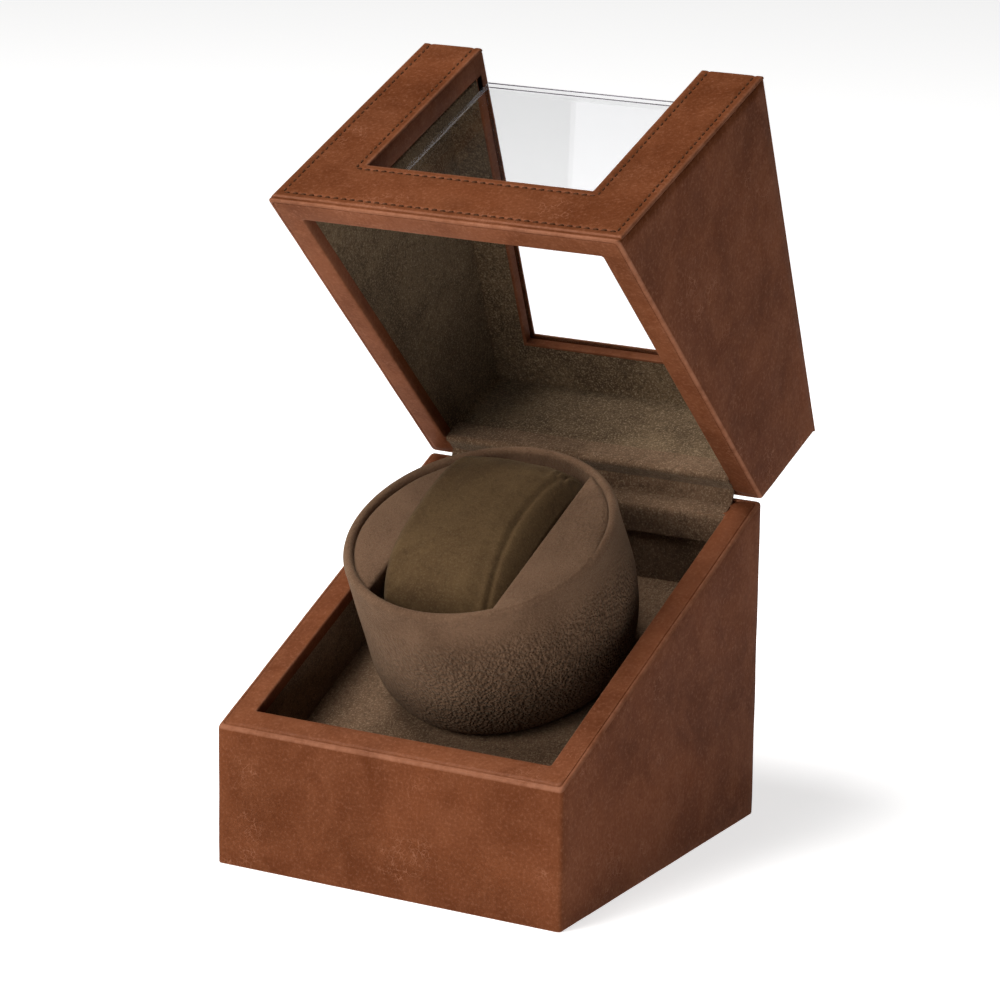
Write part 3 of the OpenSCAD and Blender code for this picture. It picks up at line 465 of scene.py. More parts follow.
base_cover()

# ---- More mesh helpers ----
def cut(obj, boxes, shift=None):
    """Take boxes, in mm in the piece's own frame, out of a closed mesh."""
    for low, high in boxes:
        corners = [(x, y, z) for x in (low[0], high[0]) for y in (low[1], high[1]) for z in (low[2], high[2])]
        mesh = bpy.data.meshes.new("cutter")
        mesh.from_pydata([tuple(c * MM for c in (shift or same)(p)) for p in corners], [],
                         [(0, 1, 3, 2), (4, 6, 7, 5), (0, 4, 5, 1), (2, 3, 7, 6), (0, 2, 6, 4), (1, 5, 7, 3)])
        cutter = bpy.data.objects.new("cutter", mesh)
        bpy.context.scene.collection.objects.link(cutter)
        boolean = obj.modifiers.new("cut", "BOOLEAN")
        boolean.operation, boolean.solver, boolean.object = "DIFFERENCE", "EXACT", cutter
        apply_modifiers(obj)
        bpy.data.objects.remove(cutter)
        bpy.data.meshes.remove(mesh)


def apply_modifiers(obj):
    """Replace the mesh by what its modifiers make of it."""
    bpy.context.view_layer.update()
    graph = bpy.context.evaluated_depsgraph_get()
    mesh = bpy.data.meshes.new_from_object(obj.evaluated_get(graph), depsgraph=graph)
    obj.modifiers.clear()
    obj.data = mesh
    mesh.set_sharp_from_angle(angle=math.radians(48))


def grid_faces(rows, cols, keep=None, wrap=False):
    faces = []
    for i in range(rows - 1):
        for j in range(cols if wrap else cols - 1):
            if keep is None or keep(i, j):
                k = (j + 1) % cols
                faces.append((i * cols + j, i * cols + k, (i + 1) * cols + k, (i + 1) * cols + j))
    return faces


def spread(a, b, fine, step):
    """Stations from a to b, close together near both ends at the offsets in fine, and step apart between."""
    lo, hi = [a + d for d in fine], [b - d for d in reversed(fine)]
    n = max(1, round((hi[0] - lo[-1]) / step))
    return lo + [lo[-1] + (hi[0] - lo[-1]) * i / n for i in range(1, n)] + hi


FINE = (0.0, 0.1, 0.3, 0.6, 1.0, 1.5, 2.2, 2.5, 2.75, 3.0, 3.25, 3.5, 3.8, 5.0)  # close at the edge and the seam
COARSE = (0.0, 1.0, 2.2, 3.0)
SEAM = 3.0  # from a plate's edge to its stitches


def frame_plate(name, u_half, v0, v1, win_half, win0, win1, place, body, replaces):
    """A stitched leather frame: a flat band round an opening that runs out at its far end (v1).
    u and v are across and along; place turns (u, v, height above the back face) into a point."""
    step = 2.6
    us = spread(-u_half, -win_half, FINE, step) + spread(-win_half, win_half, (0.0, 1.0), step) \
        + spread(win_half, u_half, FINE, step)
    if win1 >= v1:
        vs = spread(v0, win0, FINE, step) + spread(win0, v1, COARSE, step)[1:-5] + [v1 - d for d in FINE[:6]]
    else:
        vs = [v0 + d for d in FINE[:6]] + spread(v0 + 3, win1, COARSE, step)[:-4] + spread(win1, v1, FINE, step)
    us, vs = (sorted(set(round(x, 4) for x in xs)) for xs in (us, vs))

    def inside(u, v):
        return abs(u) < win_half - 1e-6 and win0 + 1e-6 < v < win1 - 1e-6

    def gap(u, v):
        """Distances to the outer edge and to the window's edge."""
        outer = min(u_half - abs(u), v - v0, v1 - v)
        du = max(0.0, abs(u) - win_half)
        dv = max(0.0, win0 - v, v - win1)
        return outer, math.hypot(du, dv)

    verts, wear_and_painted_light = [], []
    for v in vs:
        for u in us:
            outer, inner = gap(u, v)
            h = PLATE
            for d, rr in ((outer, 0.75), (inner, 0.6)):
                if d < rr:
                    h -= rr - math.sqrt(max(0.0, rr * rr - (rr - d) ** 2))
            side = min(u_half - abs(u), (v - v0) if win1 >= v1 else (v1 - v))
            for d in (side, inner):
                h -= 0.26 * math.exp(-((d - SEAM) / 0.50) ** 2)
            h += 0.06 * math.exp(-((min(side, inner) - 1.6) / 0.7) ** 2)
            h += 0.5 * wavy((u, v, 0), 9, 0.10, 5.0)
            verts.append(place((u, v, h)))
            # Lighter towards the plate's edges: rub and a painted highlight.
            wear_and_painted_light.append(max(0.0, 1.0 - min(outer, inner) / 1.1))
    rows, cols = len(vs), len(us)

    def keep(i, j):
        return not inside((us[j] + us[j + 1]) / 2, (vs[i] + vs[i + 1]) / 2)

    faces = grid_faces(rows, cols, keep)
    n = len(verts)
    verts += [place((u, v, 0.02)) for v in vs for u in us]
    wear_and_painted_light += [0.0] * n
    count = {}
    for f in faces:
        for a, b in zip(f, f[1:] + f[:1]):
            count[(a, b)] = 1
    walls = [(b, a, a + n, b + n) for (a, b) in count if (b, a) not in count]
    back = [tuple(v + n for v in reversed(f)) for f in faces]
    return piece(name, verts, faces + walls + back, body, HIDE, opened, wear_and_painted_light, 40, replaces)


STITCH_PITCH, STITCH_LENGTH, STITCH_RADIUS, STITCH_LEAN = 3.1, 2.5, 0.40, 0.24
STITCH_HEIGHT = PLATE - 0.12


def stitch_row(verts, faces, wear_and_painted_light, points, rnd):
    """Threads along a polyline of (u, v): short capsules, each leaning a little and sunk at both ends."""
    rings, sides = 7, 8
    for (u0, v0), (u1, v1) in zip(points, points[1:]):
        run = math.hypot(u1 - u0, v1 - v0)
        n = max(1, round(run / STITCH_PITCH))
        du, dv = (u1 - u0) / run, (v1 - v0) / run
        for i in range(n):
            s = (i + 0.5) * run / n
            a = STITCH_LEAN + rnd.uniform(-0.07, 0.07)
            tu, tv = du * math.cos(a) - dv * math.sin(a), du * math.sin(a) + dv * math.cos(a)
            nu, nv = -tv, tu
            cu = u0 + du * s + rnd.uniform(-0.06, 0.06) * nu
            cv = v0 + dv * s + rnd.uniform(-0.06, 0.06) * nv
            base = len(verts)
            for k in range(rings):
                t = k / (rings - 1) * 2 - 1
                rr = STITCH_RADIUS * math.sqrt(max(0.02, 1 - abs(t) ** 3.0))
                lift = STITCH_HEIGHT - 0.52 * abs(t) ** 2.2
                along = t * STITCH_LENGTH / 2
                for m in range(sides):
                    q = 2 * math.pi * m / sides
                    # 1 at mid stitch and 0 at the holes: where the thread gets its painted highlight and its painted
                    #                                     shade.
                    wear_and_painted_light.append(max(0.0, 1 - abs(t) ** 1.6))
                    verts.append((cu + tu * along + nu * rr * math.cos(q), cv + tv * along + nv * rr * math.cos(q),
                                  lift + rr * math.sin(q) * 0.9))
            for k in range(rings - 1):
                for m in range(sides):
                    a0, a1 = base + k * sides, base + (k + 1) * sides
                    faces.append((a0 + m, a0 + (m + 1) % sides, a1 + (m + 1) % sides, a1 + m))
            faces.append(tuple(base + m for m in reversed(range(sides))))
            faces.append(tuple(base + (rings - 1) * sides + m for m in range(sides)))


class Steady:
    """A small seeded sequence of numbers."""

    def __init__(self, seed):
        self.rng = np.random.RandomState(seed)

    def uniform(self, a, b):
        return float(self.rng.uniform(a, b))


def threads(name, rows, place, seed):
    verts, faces, wear_and_painted_light, rnd = [], [], [], Steady(seed)
    for points in rows:
        stitch_row(verts, faces, wear_and_painted_light, points, rnd)
    return piece(name, [place(v) for v in verts], faces, "lid", THREAD, opened, wear_and_painted_light)


def sweep(name, path, section, place, mat, replaces=()):
    """A strip of constant section along a mitred path in a plane, on the lid.
    section is (outward, along the plane's normal)."""
    n, m = len(path), len(section)
    verts = []
    for i, p in enumerate(path):
        normals = []
        for q, r in zip(path[max(0, i - 1):i + 1], path[max(1, i):i + 2]):
            d = math.hypot(r[0] - q[0], r[1] - q[1])
            normals.append(((r[1] - q[1]) / d, -((r[0] - q[0]) / d)))
        mx, my = sum(v[0] for v in normals), sum(v[1] for v in normals)
        scale = 2.0 / (mx * mx + my * my) if len(normals) == 2 else 1.0
        for a, b in section:
            verts.append(place((p[0] + mx * a * scale, p[1] + my * a * scale, b)))
    faces = grid_faces(n, m, wrap=True)
    faces += [tuple(range(m - 1, -1, -1)), tuple((n - 1) * m + k for k in range(m))]
    return piece(name, verts, faces, "lid", mat, opened, [0.3] * len(verts), replaces=replaces)


def fine_path(points, step=4.0):
    """The same polyline with stations about step apart."""
    out = [points[0]]
    for p, q in zip(points, points[1:]):
        n = max(1, round(math.hypot(q[0] - p[0], q[1] - p[1]) / step))
        out += [(p[0] + (q[0] - p[0]) * i / n, p[1] + (q[1] - p[1]) * i / n) for i in range(1, n + 1)]
    return out


def rounded(w0, w1, h0, h1, r, steps=3):
    """A rectangle with its four corners rounded."""
    out = []
    for cx, cy, a0 in ((w1 - r, h0 + r, -90), (w1 - r, h1 - r, 0), (w0 + r, h1 - r, 90), (w0 + r, h0 + r, 180)):
        for i in range(steps + 1):
            a = math.radians(a0 + 90 * i / steps)
            out.append((cx + r * math.cos(a), cy + r * math.sin(a)))
    return out


# ---- Lid: leather cover, frames, stitching ----
def lid_rim_z(y, d):
    """Height of the shut lid's rim plane at y, sunk by d into the lid."""
    return rim_z(y, -(RIM_GAP + d))


def lid_cover():
    top = CLOSED_H - PLATE
    front = -HALF_D + PLATE
    shell = Rings()
    shell.add(BOARD_X, front + LEATHER, BOARD_Y, 0.4, lambda x, y: top - 1.0)
    shell.add(BOARD_X, front + 0.6, BOARD_Y + 0.3, 0.4, lambda x, y: top - 0.02, 0.2)
    shell.add(HALF_W - 0.5, front, HALF_D - 0.5, 1.0, lambda x, y: top - 0.04, 0.6)
    shell.add(HALF_W - 0.13, front, HALF_D - 0.13, 1.2, lambda x, y: top - 0.22, 0.7)
    first = len(shell.rings)

    def wall(t, y):
        return top - 0.5 + t * (lid_rim_z(y, EDGE) - top + 0.5)

    case_shell(shell, lid_rim_z, wall)
    for i in range(WALL_ROWS):
        if wall(i / (WALL_ROWS - 1), -HALF_D) > PLATE_LOW + 0.35:
            shell.rings[first + i] = [(x, max(y, front), z) for x, y, z in shell.rings[first + i]]
    for hx, y0, y1, sunk, rub_and_highlight in ((TURNED_X, -TURNED_Y + 0.2, TURNED_Y, 2.4, 0.1),
                                   (TURNED_X, -TURNED_Y + 0.2, TURNED_Y, 4.4, 0.0),
                                   (ROOM_X, -ROOM_Y + 0.2, ROOM_Y, 4.4, 0.0),
                                   (ROOM_X, -ROOM_Y + 0.2, ROOM_Y, 2.4, 0.0),
                                   (BOARD_X, front + LEATHER, BOARD_Y, 2.4, 0.0)):
        shell.add(hx, y0, y1, 0.7, lambda x, y: lid_rim_z(y, sunk), rub_and_highlight)
    obj = finish_shell("lid_leather_cover", shell, "lid", opened, ["lid_leather"])
    cut(obj, [((-43.2, -80, 74.8), (43.2, -60, 160))], opened)


lid_cover()


def upright(p):
    """A point drawn in the shut lid's front plane: across, up, then depth along y."""
    return (p[0], p[2], p[1])


def front_place(p):
    return (p[0], -HALF_D + PLATE - p[2], p[1])


def top_place(p):
    return (p[0], p[1], CLOSED_H - PLATE + p[2])


PLATE_X = 64.8
FAR = 999  # past the plate's end: its window is open there
frame_plate("front_frame_leather", PLATE_X, PLATE_LOW, CLOSED_H, HALF_WIN, WIN_Z, FAR, front_place, "lid",
            ["front_frame"])
frame_plate("top_frame_leather", PLATE_X, -HALF_D + PLATE, HALF_D, HALF_WIN, -FAR, WIN_REAR, top_place, "lid",
            ["top_frame"])

U, W = PLATE_X - SEAM, HALF_WIN + SEAM  # the outer and the inner row of stitches
UP, BACK = CLOSED_H - 1.5, -HALF_D + 3  # where the rows end, at the corner between the plates
threads("front_frame_stitches", [[(-U, UP), (-U, PLATE_LOW + SEAM), (U, PLATE_LOW + SEAM), (U, UP)],
                                 [(-W, UP), (-W, WIN_Z - SEAM), (W, WIN_Z - SEAM), (W, UP)]], front_place, 11)
threads("top_frame_stitches", [[(-U, BACK), (-U, HALF_D - SEAM), (U, HALF_D - SEAM), (U, BACK)],
                               [(-W, BACK), (-W, WIN_REAR + SEAM), (W, WIN_REAR + SEAM), (W, BACK)]], top_place, 12)


def window(v0, v1):
    """The path round the window's three sides, from v0 to v1 and back."""
    return fine_path([(-HALF_WIN, v0), (-HALF_WIN, v1), (HALF_WIN, v1), (HALF_WIN, v0)])


# Leather linings of the window openings, and the edges of the panes
sweep("front_window_reveal", window(CEILING, WIN_Z), rounded(0, 1.2, -69.0, -61.5, 0.45), upright, HIDE)
sweep("top_window_reveal", window(-61.5, WIN_REAR), rounded(-1.2, 0, 149.85, 153.75, 0.4), same, HIDE)
for name, s in (("corner_reveal_left", -1), ("corner_reveal_right", 1)):
    sweep(name, fine_path([(s * HALF_WIN, 149.9), (s * HALF_WIN, 155.9)], 2.0),
          [(s * a, b) for a, b in rounded(0, 1.2, -69.0, -54.7, 0.3)], upright, HIDE)
PANE_EDGE = plain("pane_edge", (0.20, 0.185, 0.215), 0.25, vary=0.1)
for name, y0, y1 in (("pane_edge_front", -56.65, -56.25), ("pane_edge_back", -54.95, -54.6)):
    sweep(name, fine_path([(-41.9, 0.0), (41.9, 0.0)]), rounded(-156.95, -156.6, y0, y1, 0.1), upright, PANE_EDGE)


# ---- Suede linings ----
LINING_DROP = 4.0   # from the rim to the top of the lining
LINING_T = 0.8


def base_lining():
    """The band of suede round the base's walls, with a few gathers at the front left corner."""
    shell = Rings()
    deep = DECK_DROP + LINING_T
    for i in range(26):
        sunk = deep + (LINING_DROP - deep) * i / 25
        shell.add(CLEAR_X, -CLEAR_Y, CLEAR_Y, 2.4, lambda x, y: rim_z(y, sunk))
    for sunk in (LINING_DROP, deep):
        shell.add(ROOM_X, -ROOM_Y, ROOM_Y, 2.0, lambda x, y: rim_z(y, sunk))
    verts, faces = loft(shell.rings)
    out = []
    for p in verts:
        d = wavy(p, 16, 0.35, 2.0) + wavy(p, 5, 0.12, 9.0)
        x, y, z = p
        if abs(x) < 56.4 and abs(y) < 61.4:
            corner = math.exp(-((x + 54) / 7) ** 2 - ((y + 59) / 7) ** 2)
            d += corner * 0.9 * math.cos((z - 30) * 0.9 + x * 0.35)
            if abs(x) > 53:
                x -= math.copysign(0.12 + max(0.0, d) * 0.8, x)
            if abs(y) > 58:
                y -= math.copysign(0.12 + max(0.0, d) * 0.8, y)
        out.append((x, y, z))
    obj = piece("base_wall_lining", out, faces, "base", LINING, replaces=["base_lining"])


DECK_X, DECK_Y, BUSH_R = 55.9, 60.9, 9.5


def deck_lining():
    """The deck's suede, lifting a little at its edges, with a hole for the drum's bush."""
    xs = [-DECK_X + 2 * DECK_X * i / 60 for i in range(61)]
    ys = [-DECK_Y + 2 * DECK_Y * i / 66 for i in range(67)]
    verts = []
    for y in ys:
        for x in xs:
            edge = min(DECK_X - abs(x), DECK_Y - abs(y))
            lift = wavy((x, y, 0), 19, 0.28, 4.0) + wavy((x, y, 0), 6, 0.08, 8.0)
            r = math.hypot(x, (y - DRUM_Y) / math.cos(SLOPE))
            lift = max(lift * smooth(0, 6, edge), -0.1) * smooth(38, 44, r) + 0.35 * math.exp(-edge / 1.2)
            corner = math.exp(-((x + 52) / 8) ** 2 - ((y + 57) / 8) ** 2)
            lift += corner * 0.55 * max(0.0, math.cos((x - y) * 0.75))
            verts.append((x, y, rim_z(y, DECK_DROP - lift)))
    n = len(xs)

    def keep(i, j):
        cx, cy = (xs[j] + xs[j + 1]) / 2, (ys[i] + ys[i + 1]) / 2
        return math.hypot(cx, cy - DRUM_Y) > BUSH_R

    faces = grid_faces(len(ys), n, keep)
    used = {v for f in faces for v in f}
    remap = {v: i for i, v in enumerate(sorted(used))}
    verts = [verts[v] for v in sorted(used)]
    faces = [tuple(remap[v] for v in f) for f in faces]
    obj = piece("deck_lining", verts, faces, "base", LINING)
    solid = obj.modifiers.new("thickness", "SOLIDIFY")
    solid.thickness, solid.offset = LINING_T * MM, -1.0
    apply_modifiers(obj)
    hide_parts("deck_suede")


def lid_lining():
    """The lid's suede: walls, a rounded turn and the ceiling, with the window cut out."""
    shell, front, turn = Rings(), -CLEAR_Y + 0.2, 1.5
    shell.add(ROOM_X, -ROOM_Y + 0.2, ROOM_Y, 2.0, lambda x, y: CEILING + LINING_T)
    shell.add(ROOM_X, -ROOM_Y + 0.2, ROOM_Y, 2.0, lambda x, y: lid_rim_z(y, LINING_DROP))
    for i in range(30):
        k = i / 29
        shell.add(CLEAR_X, front, CLEAR_Y, 2.2,
                  lambda x, y: lid_rim_z(y, LINING_DROP) * (1 - k) + (CEILING - turn) * k)
    for a in (30, 60, 90):
        a = math.radians(a)
        q = turn * (1 - math.cos(a))
        shell.add(CLEAR_X - q, front + q, CLEAR_Y - q, 1.6, lambda x, y: CEILING - turn + turn * math.sin(a))
    verts, faces = loft(shell.rings, closed=False, cap=True)
    out = []
    for p in verts:
        x, y, z = p
        d = max(0.0, wavy(p, 21, 0.35, 6.0) + wavy(p, 6, 0.10, 3.0)) * smooth(CEILING, CEILING - 6, z)
        if abs(x) < 56.4 and -60.9 < y < 61.4 and z < CEILING - 1:
            if abs(x) > 53:
                x -= math.copysign(0.1 + d, x)
            if y > 58 or y < -58:
                y -= math.copysign(0.1 + d, y)
        out.append((x, y, z))
    obj = piece("lid_lining_suede", out, faces, "lid", LID_SUEDE, opened, replaces=["lid_lining"])
    cut(obj, [((-43.2, -80, 74.8), (43.2, -55, 160)), ((-43.1, -80, 140), (43.1, 46.1, 160))], opened)


base_lining()
deck_lining()
lid_lining()
sweep("glazing_frame_suede", window(149.8, WIN_Z), rounded(0, 10, -61.4, -54.4, 0.9, 4), upright, LID_SUEDE,
      ["glazing_frame"])


# ---- Suede strip over the hinge ----
def hinge_strip():
    """One strip from the base's rear wall over both rims and up the lid's rear wall, creased at the hinge."""
    base_in = TURNED_Y - LINING_T / 2 - 0.02
    line = [(base_in, rim_z(base_in, d)) for d in (9.0, 5.0, 2.2)]
    for a in (30, 60, 90):
        q = math.radians(a)
        line.append((base_in + 1.1 * (1 - math.cos(q)), rim_z(base_in, 1.7) + 1.15 * math.sin(q)))
    line += [(y, rim_z(y, 0.60)) for y in (63.0, 64.4, 65.6, 66.6)]
    over = [(y, rim_z(y, -(RIM_GAP + 0.60))) for y in (66.6, 65.6, 64.4, 63.0)]
    for a in (90, 60, 30):
        q = math.radians(a)
        over.append((base_in + 1.1 * (1 - math.cos(q)), rim_z(base_in, -RIM_GAP - 1.7) - 1.15 * math.sin(q)))
    over += [(base_in, rim_z(base_in, -RIM_GAP - d)) for d in (2.4, 5.0, 9.0)]
    over = [opened((0, y, z))[1:] for y, z in over]
    ends, crease = (line[-1], over[0]), (67.75, 112.4)
    valley = [tuple((1 - t) ** 2 * a + 2 * t * (1 - t) * c + t * t * b for a, c, b in zip(ends[0], crease, ends[1]))
              for t in (0.2, 0.4, 0.5, 0.6, 0.8)]
    path = line + valley + over
    xs = spread(-55.2, 55.2, (0.0, 0.4, 1.2), 2.4)
    normals = []
    for i in range(len(path)):
        p, q = path[max(0, i - 1)], path[min(len(path) - 1, i + 1)]
        d = math.dist(p, q)
        normals.append(((q[1] - p[1]) / d, -(q[0] - p[0]) / d))
    verts = []
    for side in (0.5, -0.5):
        for (y, z), (ny, nz) in zip(path, normals):
            for x in xs:
                w = wavy((x, y, z), 9, 0.12, 1.0)
                verts.append((x, y + ny * (side * LINING_T + w), z + nz * (side * LINING_T + w)))
    m, n = len(path), len(xs)
    faces = grid_faces(m, n)
    faces += [tuple(v + m * n for v in reversed(f)) for f in faces]
    edge = list(range(n)) + [i * n + n - 1 for i in range(1, m)] \
        + [(m - 1) * n + j for j in range(n - 2, -1, -1)] + [i * n for i in range(m - 2, 0, -1)]
    faces += [(a, b, b + m * n, a + m * n) for a, b in zip(edge, edge[1:] + edge[:1])]
    obj = piece("hinge_strip", verts, faces, None, LINING, sharp=60, replaces=["base_hinge_liner", "lid_hinge_liner"])
    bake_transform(obj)


hinge_strip()


# ---- Drum ----
FOOT_R, FOOT_W, FLARE, WALL_H, PAD = 39.3, 1.5, 7.3, 53.3, 4.7
LIP_R, LIP_W, LIP_RISE = 44.75, 54.6, 2.35  # the middle of the rolled lip, and how high it stands over that
HALF_SLOT = 23.5


def cover_r(w):
    """Radius of the drum's padded cover: a plain cone, swelling just above the foot."""
    cone = FOOT_R + (w - FOOT_W) * FLARE / WALL_H
    return cone + PAD * math.sin(math.pi * min(1.0, max(0.0, (w - FOOT_W) / WALL_H)) ** 0.55)


def hush(angle):
    """1 where the right cheek runs over the lip without a seam, at the front right; angle in degrees from +x."""
    return smooth(-112, -88, angle) * smooth(12, -22, angle)


def lip_w(r):
    """Height of the lip's top at radius r."""
    return LIP_W + LIP_RISE * math.sqrt(max(0.0, 1 - (max(0.0, r - LIP_R) / 2.0) ** 2))


def drum_cover():
    turns = 180
    profile = [(30.0, FOOT_W), (38.2, FOOT_W), (39.2, FOOT_W + 0.1)]
    profile += [(cover_r(w), w) for w in (1.9, 2.4, 3.2, 4.2, 5.4, 6.8, 8.4, 10.2, *np.linspace(12.0, 53.0, 22))]
    outside = len(profile)
    for a in range(0, 181, 18):
        q = math.radians(a)
        profile.append((LIP_R + (2.0 if a < 90 else 1.6) * math.cos(q), LIP_W + LIP_RISE * math.sin(q)))
    profile += [(43.05, 53.6), (42.75, 52.2), (42.1, 49.0), (41.7, 44), (41.0, 38), (39.6, 26), (37.7, 12),
                (37.0, 6.5), (30.0, 5.6)]
    verts, wear_and_painted_light = [], []
    for i, (r, w) in enumerate(profile):
        for k in range(turns):
            a = 2 * math.pi * k / turns
            deg = math.degrees(a if a < math.pi else a - 2 * math.pi)
            bulge = 0.0
            p = (r * math.cos(a), r * math.sin(a), w)
            if w < 57.2 and r > 39.5 and i < outside:
                side = math.sin(math.pi * smooth(3, 56, w))
                bulge = side * (1.5 * math.cos(a) - 0.4 * math.sin(a) + wavy(p, 14, 0.30, 2.0))
            rr = r + bulge
            ww = w - 0.10 * math.exp(-((w - 56.9) / 0.6) ** 2) * hush(deg)
            verts.append((rr * math.cos(a), rr * math.sin(a), ww))
            # The pebbled patch on the lower front of the drum; it also sets the painted shade between the pebbles.
            front = smooth(-150, -125, deg) * smooth(40, 5, deg)
            wear_and_painted_light.append(front * smooth(52, 36, w) * (1 if r > 38 else 0) * (0.55 + 0.45 * smooth(-110, -60, deg)))
    faces = grid_faces(len(profile), turns, wrap=True)
    piece("drum_suede_cover", verts, faces, "drum", DRUM_SUEDE, on_deck, wear_and_painted_light, 50, ["drum_cover"])


def drum_cheek(side):
    """The flat filler beside the slot, with its wall down into the slot."""
    half = math.acos(HALF_SLOT / 43.3)
    rows, top = 46, 56.5 if side > 0 else 55.4
    verts, wear_and_painted_light = [], []
    stations = [0.0, 0.02, 0.05, 0.09, 0.14] + [0.14 + 0.80 * i / 9 for i in range(1, 9)] + [0.94, 0.97, 0.99, 1.0]
    down = (5.0, 20.0, 35.0, 45.0, 52.0, 54.0)
    for i in range(rows):
        a = -half + 2 * half * i / (rows - 1)
        deg = math.degrees(a)
        merge = hush(deg) if side > 0 else 0.0
        outer = 43.35 + 2.5 * merge
        y = outer * math.sin(a)
        x_out = max(HALF_SLOT + 0.05, outer * math.cos(a))
        for w in down:
            verts.append((side * HALF_SLOT, y * 0.985, w))
            wear_and_painted_light.append(0.0)
        for t in stations:
            x = HALF_SLOT + (x_out - HALF_SLOT) * t
            w, edge, rim = top, x - HALF_SLOT, x_out - x
            if edge < 1.2:
                w -= 1.2 - math.sqrt(max(0.0, 1.44 - (1.2 - edge) ** 2))
            w += 0.35 * math.sin(math.pi * min(1, t)) + wavy((x, y, side * 9), 12, 0.25, 5.0) * smooth(0, 3, edge)
            w -= (1 - merge) * 1.1 * math.exp(-rim / 0.8)
            over = smooth(0, 0.25, merge) * smooth(8.0, 0.0, rim) * smooth(0, 1.5, edge)
            w += (lip_w(math.hypot(x, y)) + 0.05 - w) * over
            verts.append((side * x, y, w))
            # A weak pebbled patch on the right cheek, with painted shade between its pebbles.
            wear_and_painted_light.append(0.25 * smooth(-20, 20, deg) if side > 0 else 0.0)
    faces = grid_faces(rows, len(down) + len(stations))
    piece("drum_cheek_" + ("left" if side < 0 else "right"), verts, faces, "drum", DRUM_SUEDE, on_deck, wear_and_painted_light, 60,
          ["drum_cheeks"])


drum_cover()
drum_cheek(-1)
drum_cheek(1)


# ---- Watch pillow ----
PILLOW_MID = 40.0


def pillow_side(a, half, rise, fall):
    """The pillow's side outline at a turn a: (v, w), fuller at the rear end, which sits higher."""
    c, s = math.cos(a), math.sin(a)
    p = 0.62 if c > 0 and s > 0 else 0.8
    v = half * math.copysign(abs(c) ** p, c)
    return v, PILLOW_MID + (rise if s > 0 else fall) * math.copysign(abs(s) ** p, s) + 0.07 * v


def pillow():
    """A crowned pad: a broad top, a soft shoulder fold along its right side, and gathers at the rear right corner."""
    rows, cols, hx = 132, 84, 22.9
    verts = []
    for i in range(rows):
        v0, w0 = pillow_side(2 * math.pi * i / rows, 37.3, 25.6, 22.8)
        up = smooth(38, 56, w0)
        for j in range(cols + 1):
            u = -1 + 2 * j / cols
            e = abs(u)
            x = hx * u * (1 - 0.05 * smooth(20, 37, -v0) * e)
            pull = 1.0 - (0.035 * e ** 2 + 0.16 * max(0.0, (e - 0.80) / 0.20) ** 2.2 * 0.6)
            if u > 0:
                pull -= up * (0.10 * smooth(0.40, 0.74, u) + 0.17 * smooth(0.70, 1.0, u))
            shrink = 1.0 - 0.10 * max(0.0, (e - 0.82) / 0.18) ** 2
            verts.append((x, v0 * shrink, PILLOW_MID + (w0 - PILLOW_MID) * pull))
    row = cols + 1
    faces = grid_faces(rows, row)
    faces += [((rows - 1) * row + j, (rows - 1) * row + j + 1, j + 1, j) for j in range(cols)]
    faces += [tuple(i * row for i in range(rows)), tuple(i * row + cols for i in reversed(range(rows)))]
    out = []
    for x, v, w in verts:
        if w > 38:
            top = smooth(42, 54, w)
            crease = 15.6 + 2.4 * smooth(0, 36, abs(v - 2))
            w -= 0.85 * math.exp(-((x - crease) / 0.75) ** 2) * top * smooth(34, 26, v)
            w += 0.55 * math.exp(-((x - crease + 2.0) / 1.5) ** 2) * top * smooth(36, 28, v)
            for k in range(3):
                d = math.hypot(x - 23.5, v - 30.0) - (3.2 + 2.3 * k)
                w -= 0.75 * math.exp(-(d / 0.42) ** 2) * smooth(24, 29, v) * smooth(11, 15, x)
                w += 0.35 * math.exp(-((d - 1.1) / 0.8) ** 2) * smooth(24, 29, v) * smooth(11, 15, x)
            w += (wavy((x, v, w), 13, 0.55, 3.0) + wavy((x, v, w), 5, 0.18, 8.0)) * smooth(23, 19, abs(x))
        out.append((x, v, w))
    obj = piece("pillow_suede_cover", out, faces, "pillow", PILLOW_SUEDE, on_deck, None, 80,
                ["pillow_cover", "pillow_core"])


pillow()


# ---- Camera, lights, floor ----
EYE = Vector((0.68063, -1.21861, 0.48294))
RIGHT = Vector((0.87185, 0.48959, 0.01345)).normalized()
AHEAD = Vector((-0.47080, 0.84532, -0.25254)).normalized()
SKY = Vector((-0.72, -0.50, 0.48)).normalized()  # the bright side of the studio
LAMPS = (("key", (-0.62, -1.35, 0.95), (0, 0, 0.1), 0.75, 15, (1.0, 0.975, 0.95)),
         ("top", (-0.45, -0.20, 1.60), (0, 0, 0.1), 1.0, 26, (1.0, 0.99, 0.98)),
         ("fill", (-0.15, -1.6, 0.40), (0, 0, 0.08), 0.8, 4, (1.0, 0.98, 0.96)))


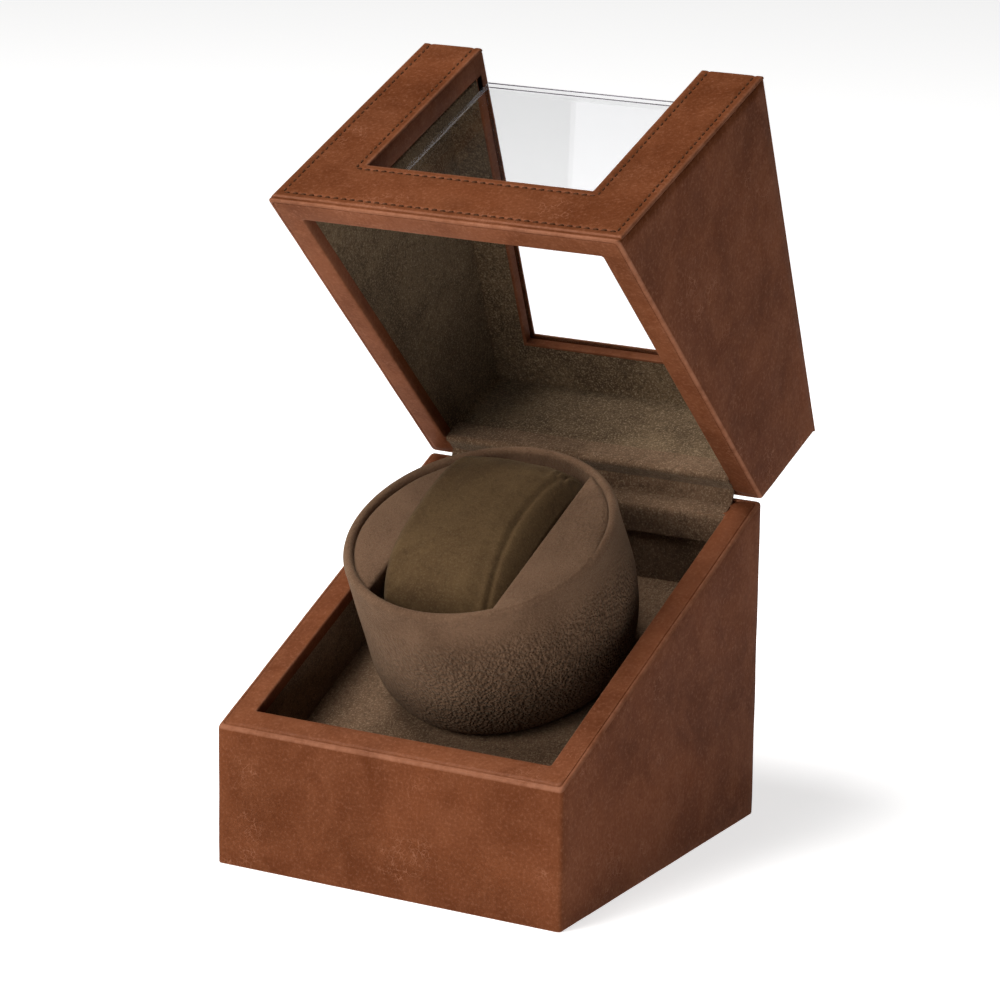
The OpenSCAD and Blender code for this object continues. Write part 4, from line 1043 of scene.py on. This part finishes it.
def camera(scene):
    lens = bpy.data.cameras.new("camera")
    lens.lens, lens.sensor_width, lens.clip_start, lens.clip_end = 155.82, 36.0, 0.01, 100.0
    obj = bpy.data.objects.new("camera", lens)
    scene.collection.objects.link(obj)
    up = RIGHT.cross(AHEAD).normalized()
    obj.matrix_world = Matrix([(RIGHT[i], up[i], -AHEAD[i], EYE[i]) for i in range(3)] + [(0, 0, 0, 1)])
    scene.camera = obj


def floor(scene):
    mesh = bpy.data.meshes.new("floor")
    bm = bmesh.new()
    bmesh.ops.create_grid(bm, x_segments=8, y_segments=8, size=9.0)
    bm.to_mesh(mesh)
    bm.free()
    g = Nodes("floor")
    pale = g.mix(g.span(g.noise(0.8, 2), 0.3, 0.7), (0.84, 0.84, 0.84), (0.86, 0.86, 0.86))
    mesh.materials.append(g.surface(Base_Color=pale, Roughness=0.9, Specular_IOR_Level=0.0,
                                    Emission_Color=(1, 1, 1, 1), Emission_Strength=0.72))
    obj = bpy.data.objects.new("floor", mesh)
    scene.collection.objects.link(obj)


def lighting(scene):
    """A white surround, brighter on one side, and three soft round lamps."""
    world = bpy.data.worlds.new("studio")
    world.use_nodes = True
    tree = world.node_tree
    side = tree.nodes.new("ShaderNodeVectorMath")
    side.operation = "DOT_PRODUCT"
    tree.links.new(tree.nodes.new("ShaderNodeTexCoord").outputs["Generated"], side.inputs[0])
    side.inputs[1].default_value = SKY
    fade = tree.nodes.new("ShaderNodeMapRange")
    for key, value in (("From Min", -0.5), ("From Max", 0.9), ("To Min", 0.08), ("To Max", 0.95)):
        fade.inputs[key].default_value = value
    tree.links.new(side.outputs["Value"], fade.inputs["Value"])
    tree.links.new(fade.outputs["Result"], tree.nodes["Background"].inputs["Strength"])
    scene.world = world
    for name, at, aim, size, power, tint in LAMPS:
        light = bpy.data.lights.new(name, "AREA")
        light.shape, light.size, light.energy, light.color = "DISK", size, power, tint
        lamp = bpy.data.objects.new(name, light)
        lamp.location = at
        lamp.rotation_euler = (Vector(aim) - Vector(at)).to_track_quat("-Z", "Y").to_euler()
        scene.collection.objects.link(lamp)


def studio(scene):
    camera(scene)
    floor(scene)
    lighting(scene)
    scene.view_settings.view_transform = "Standard"
    scene.view_settings.look = "None"


studio(bpy.context.scene)
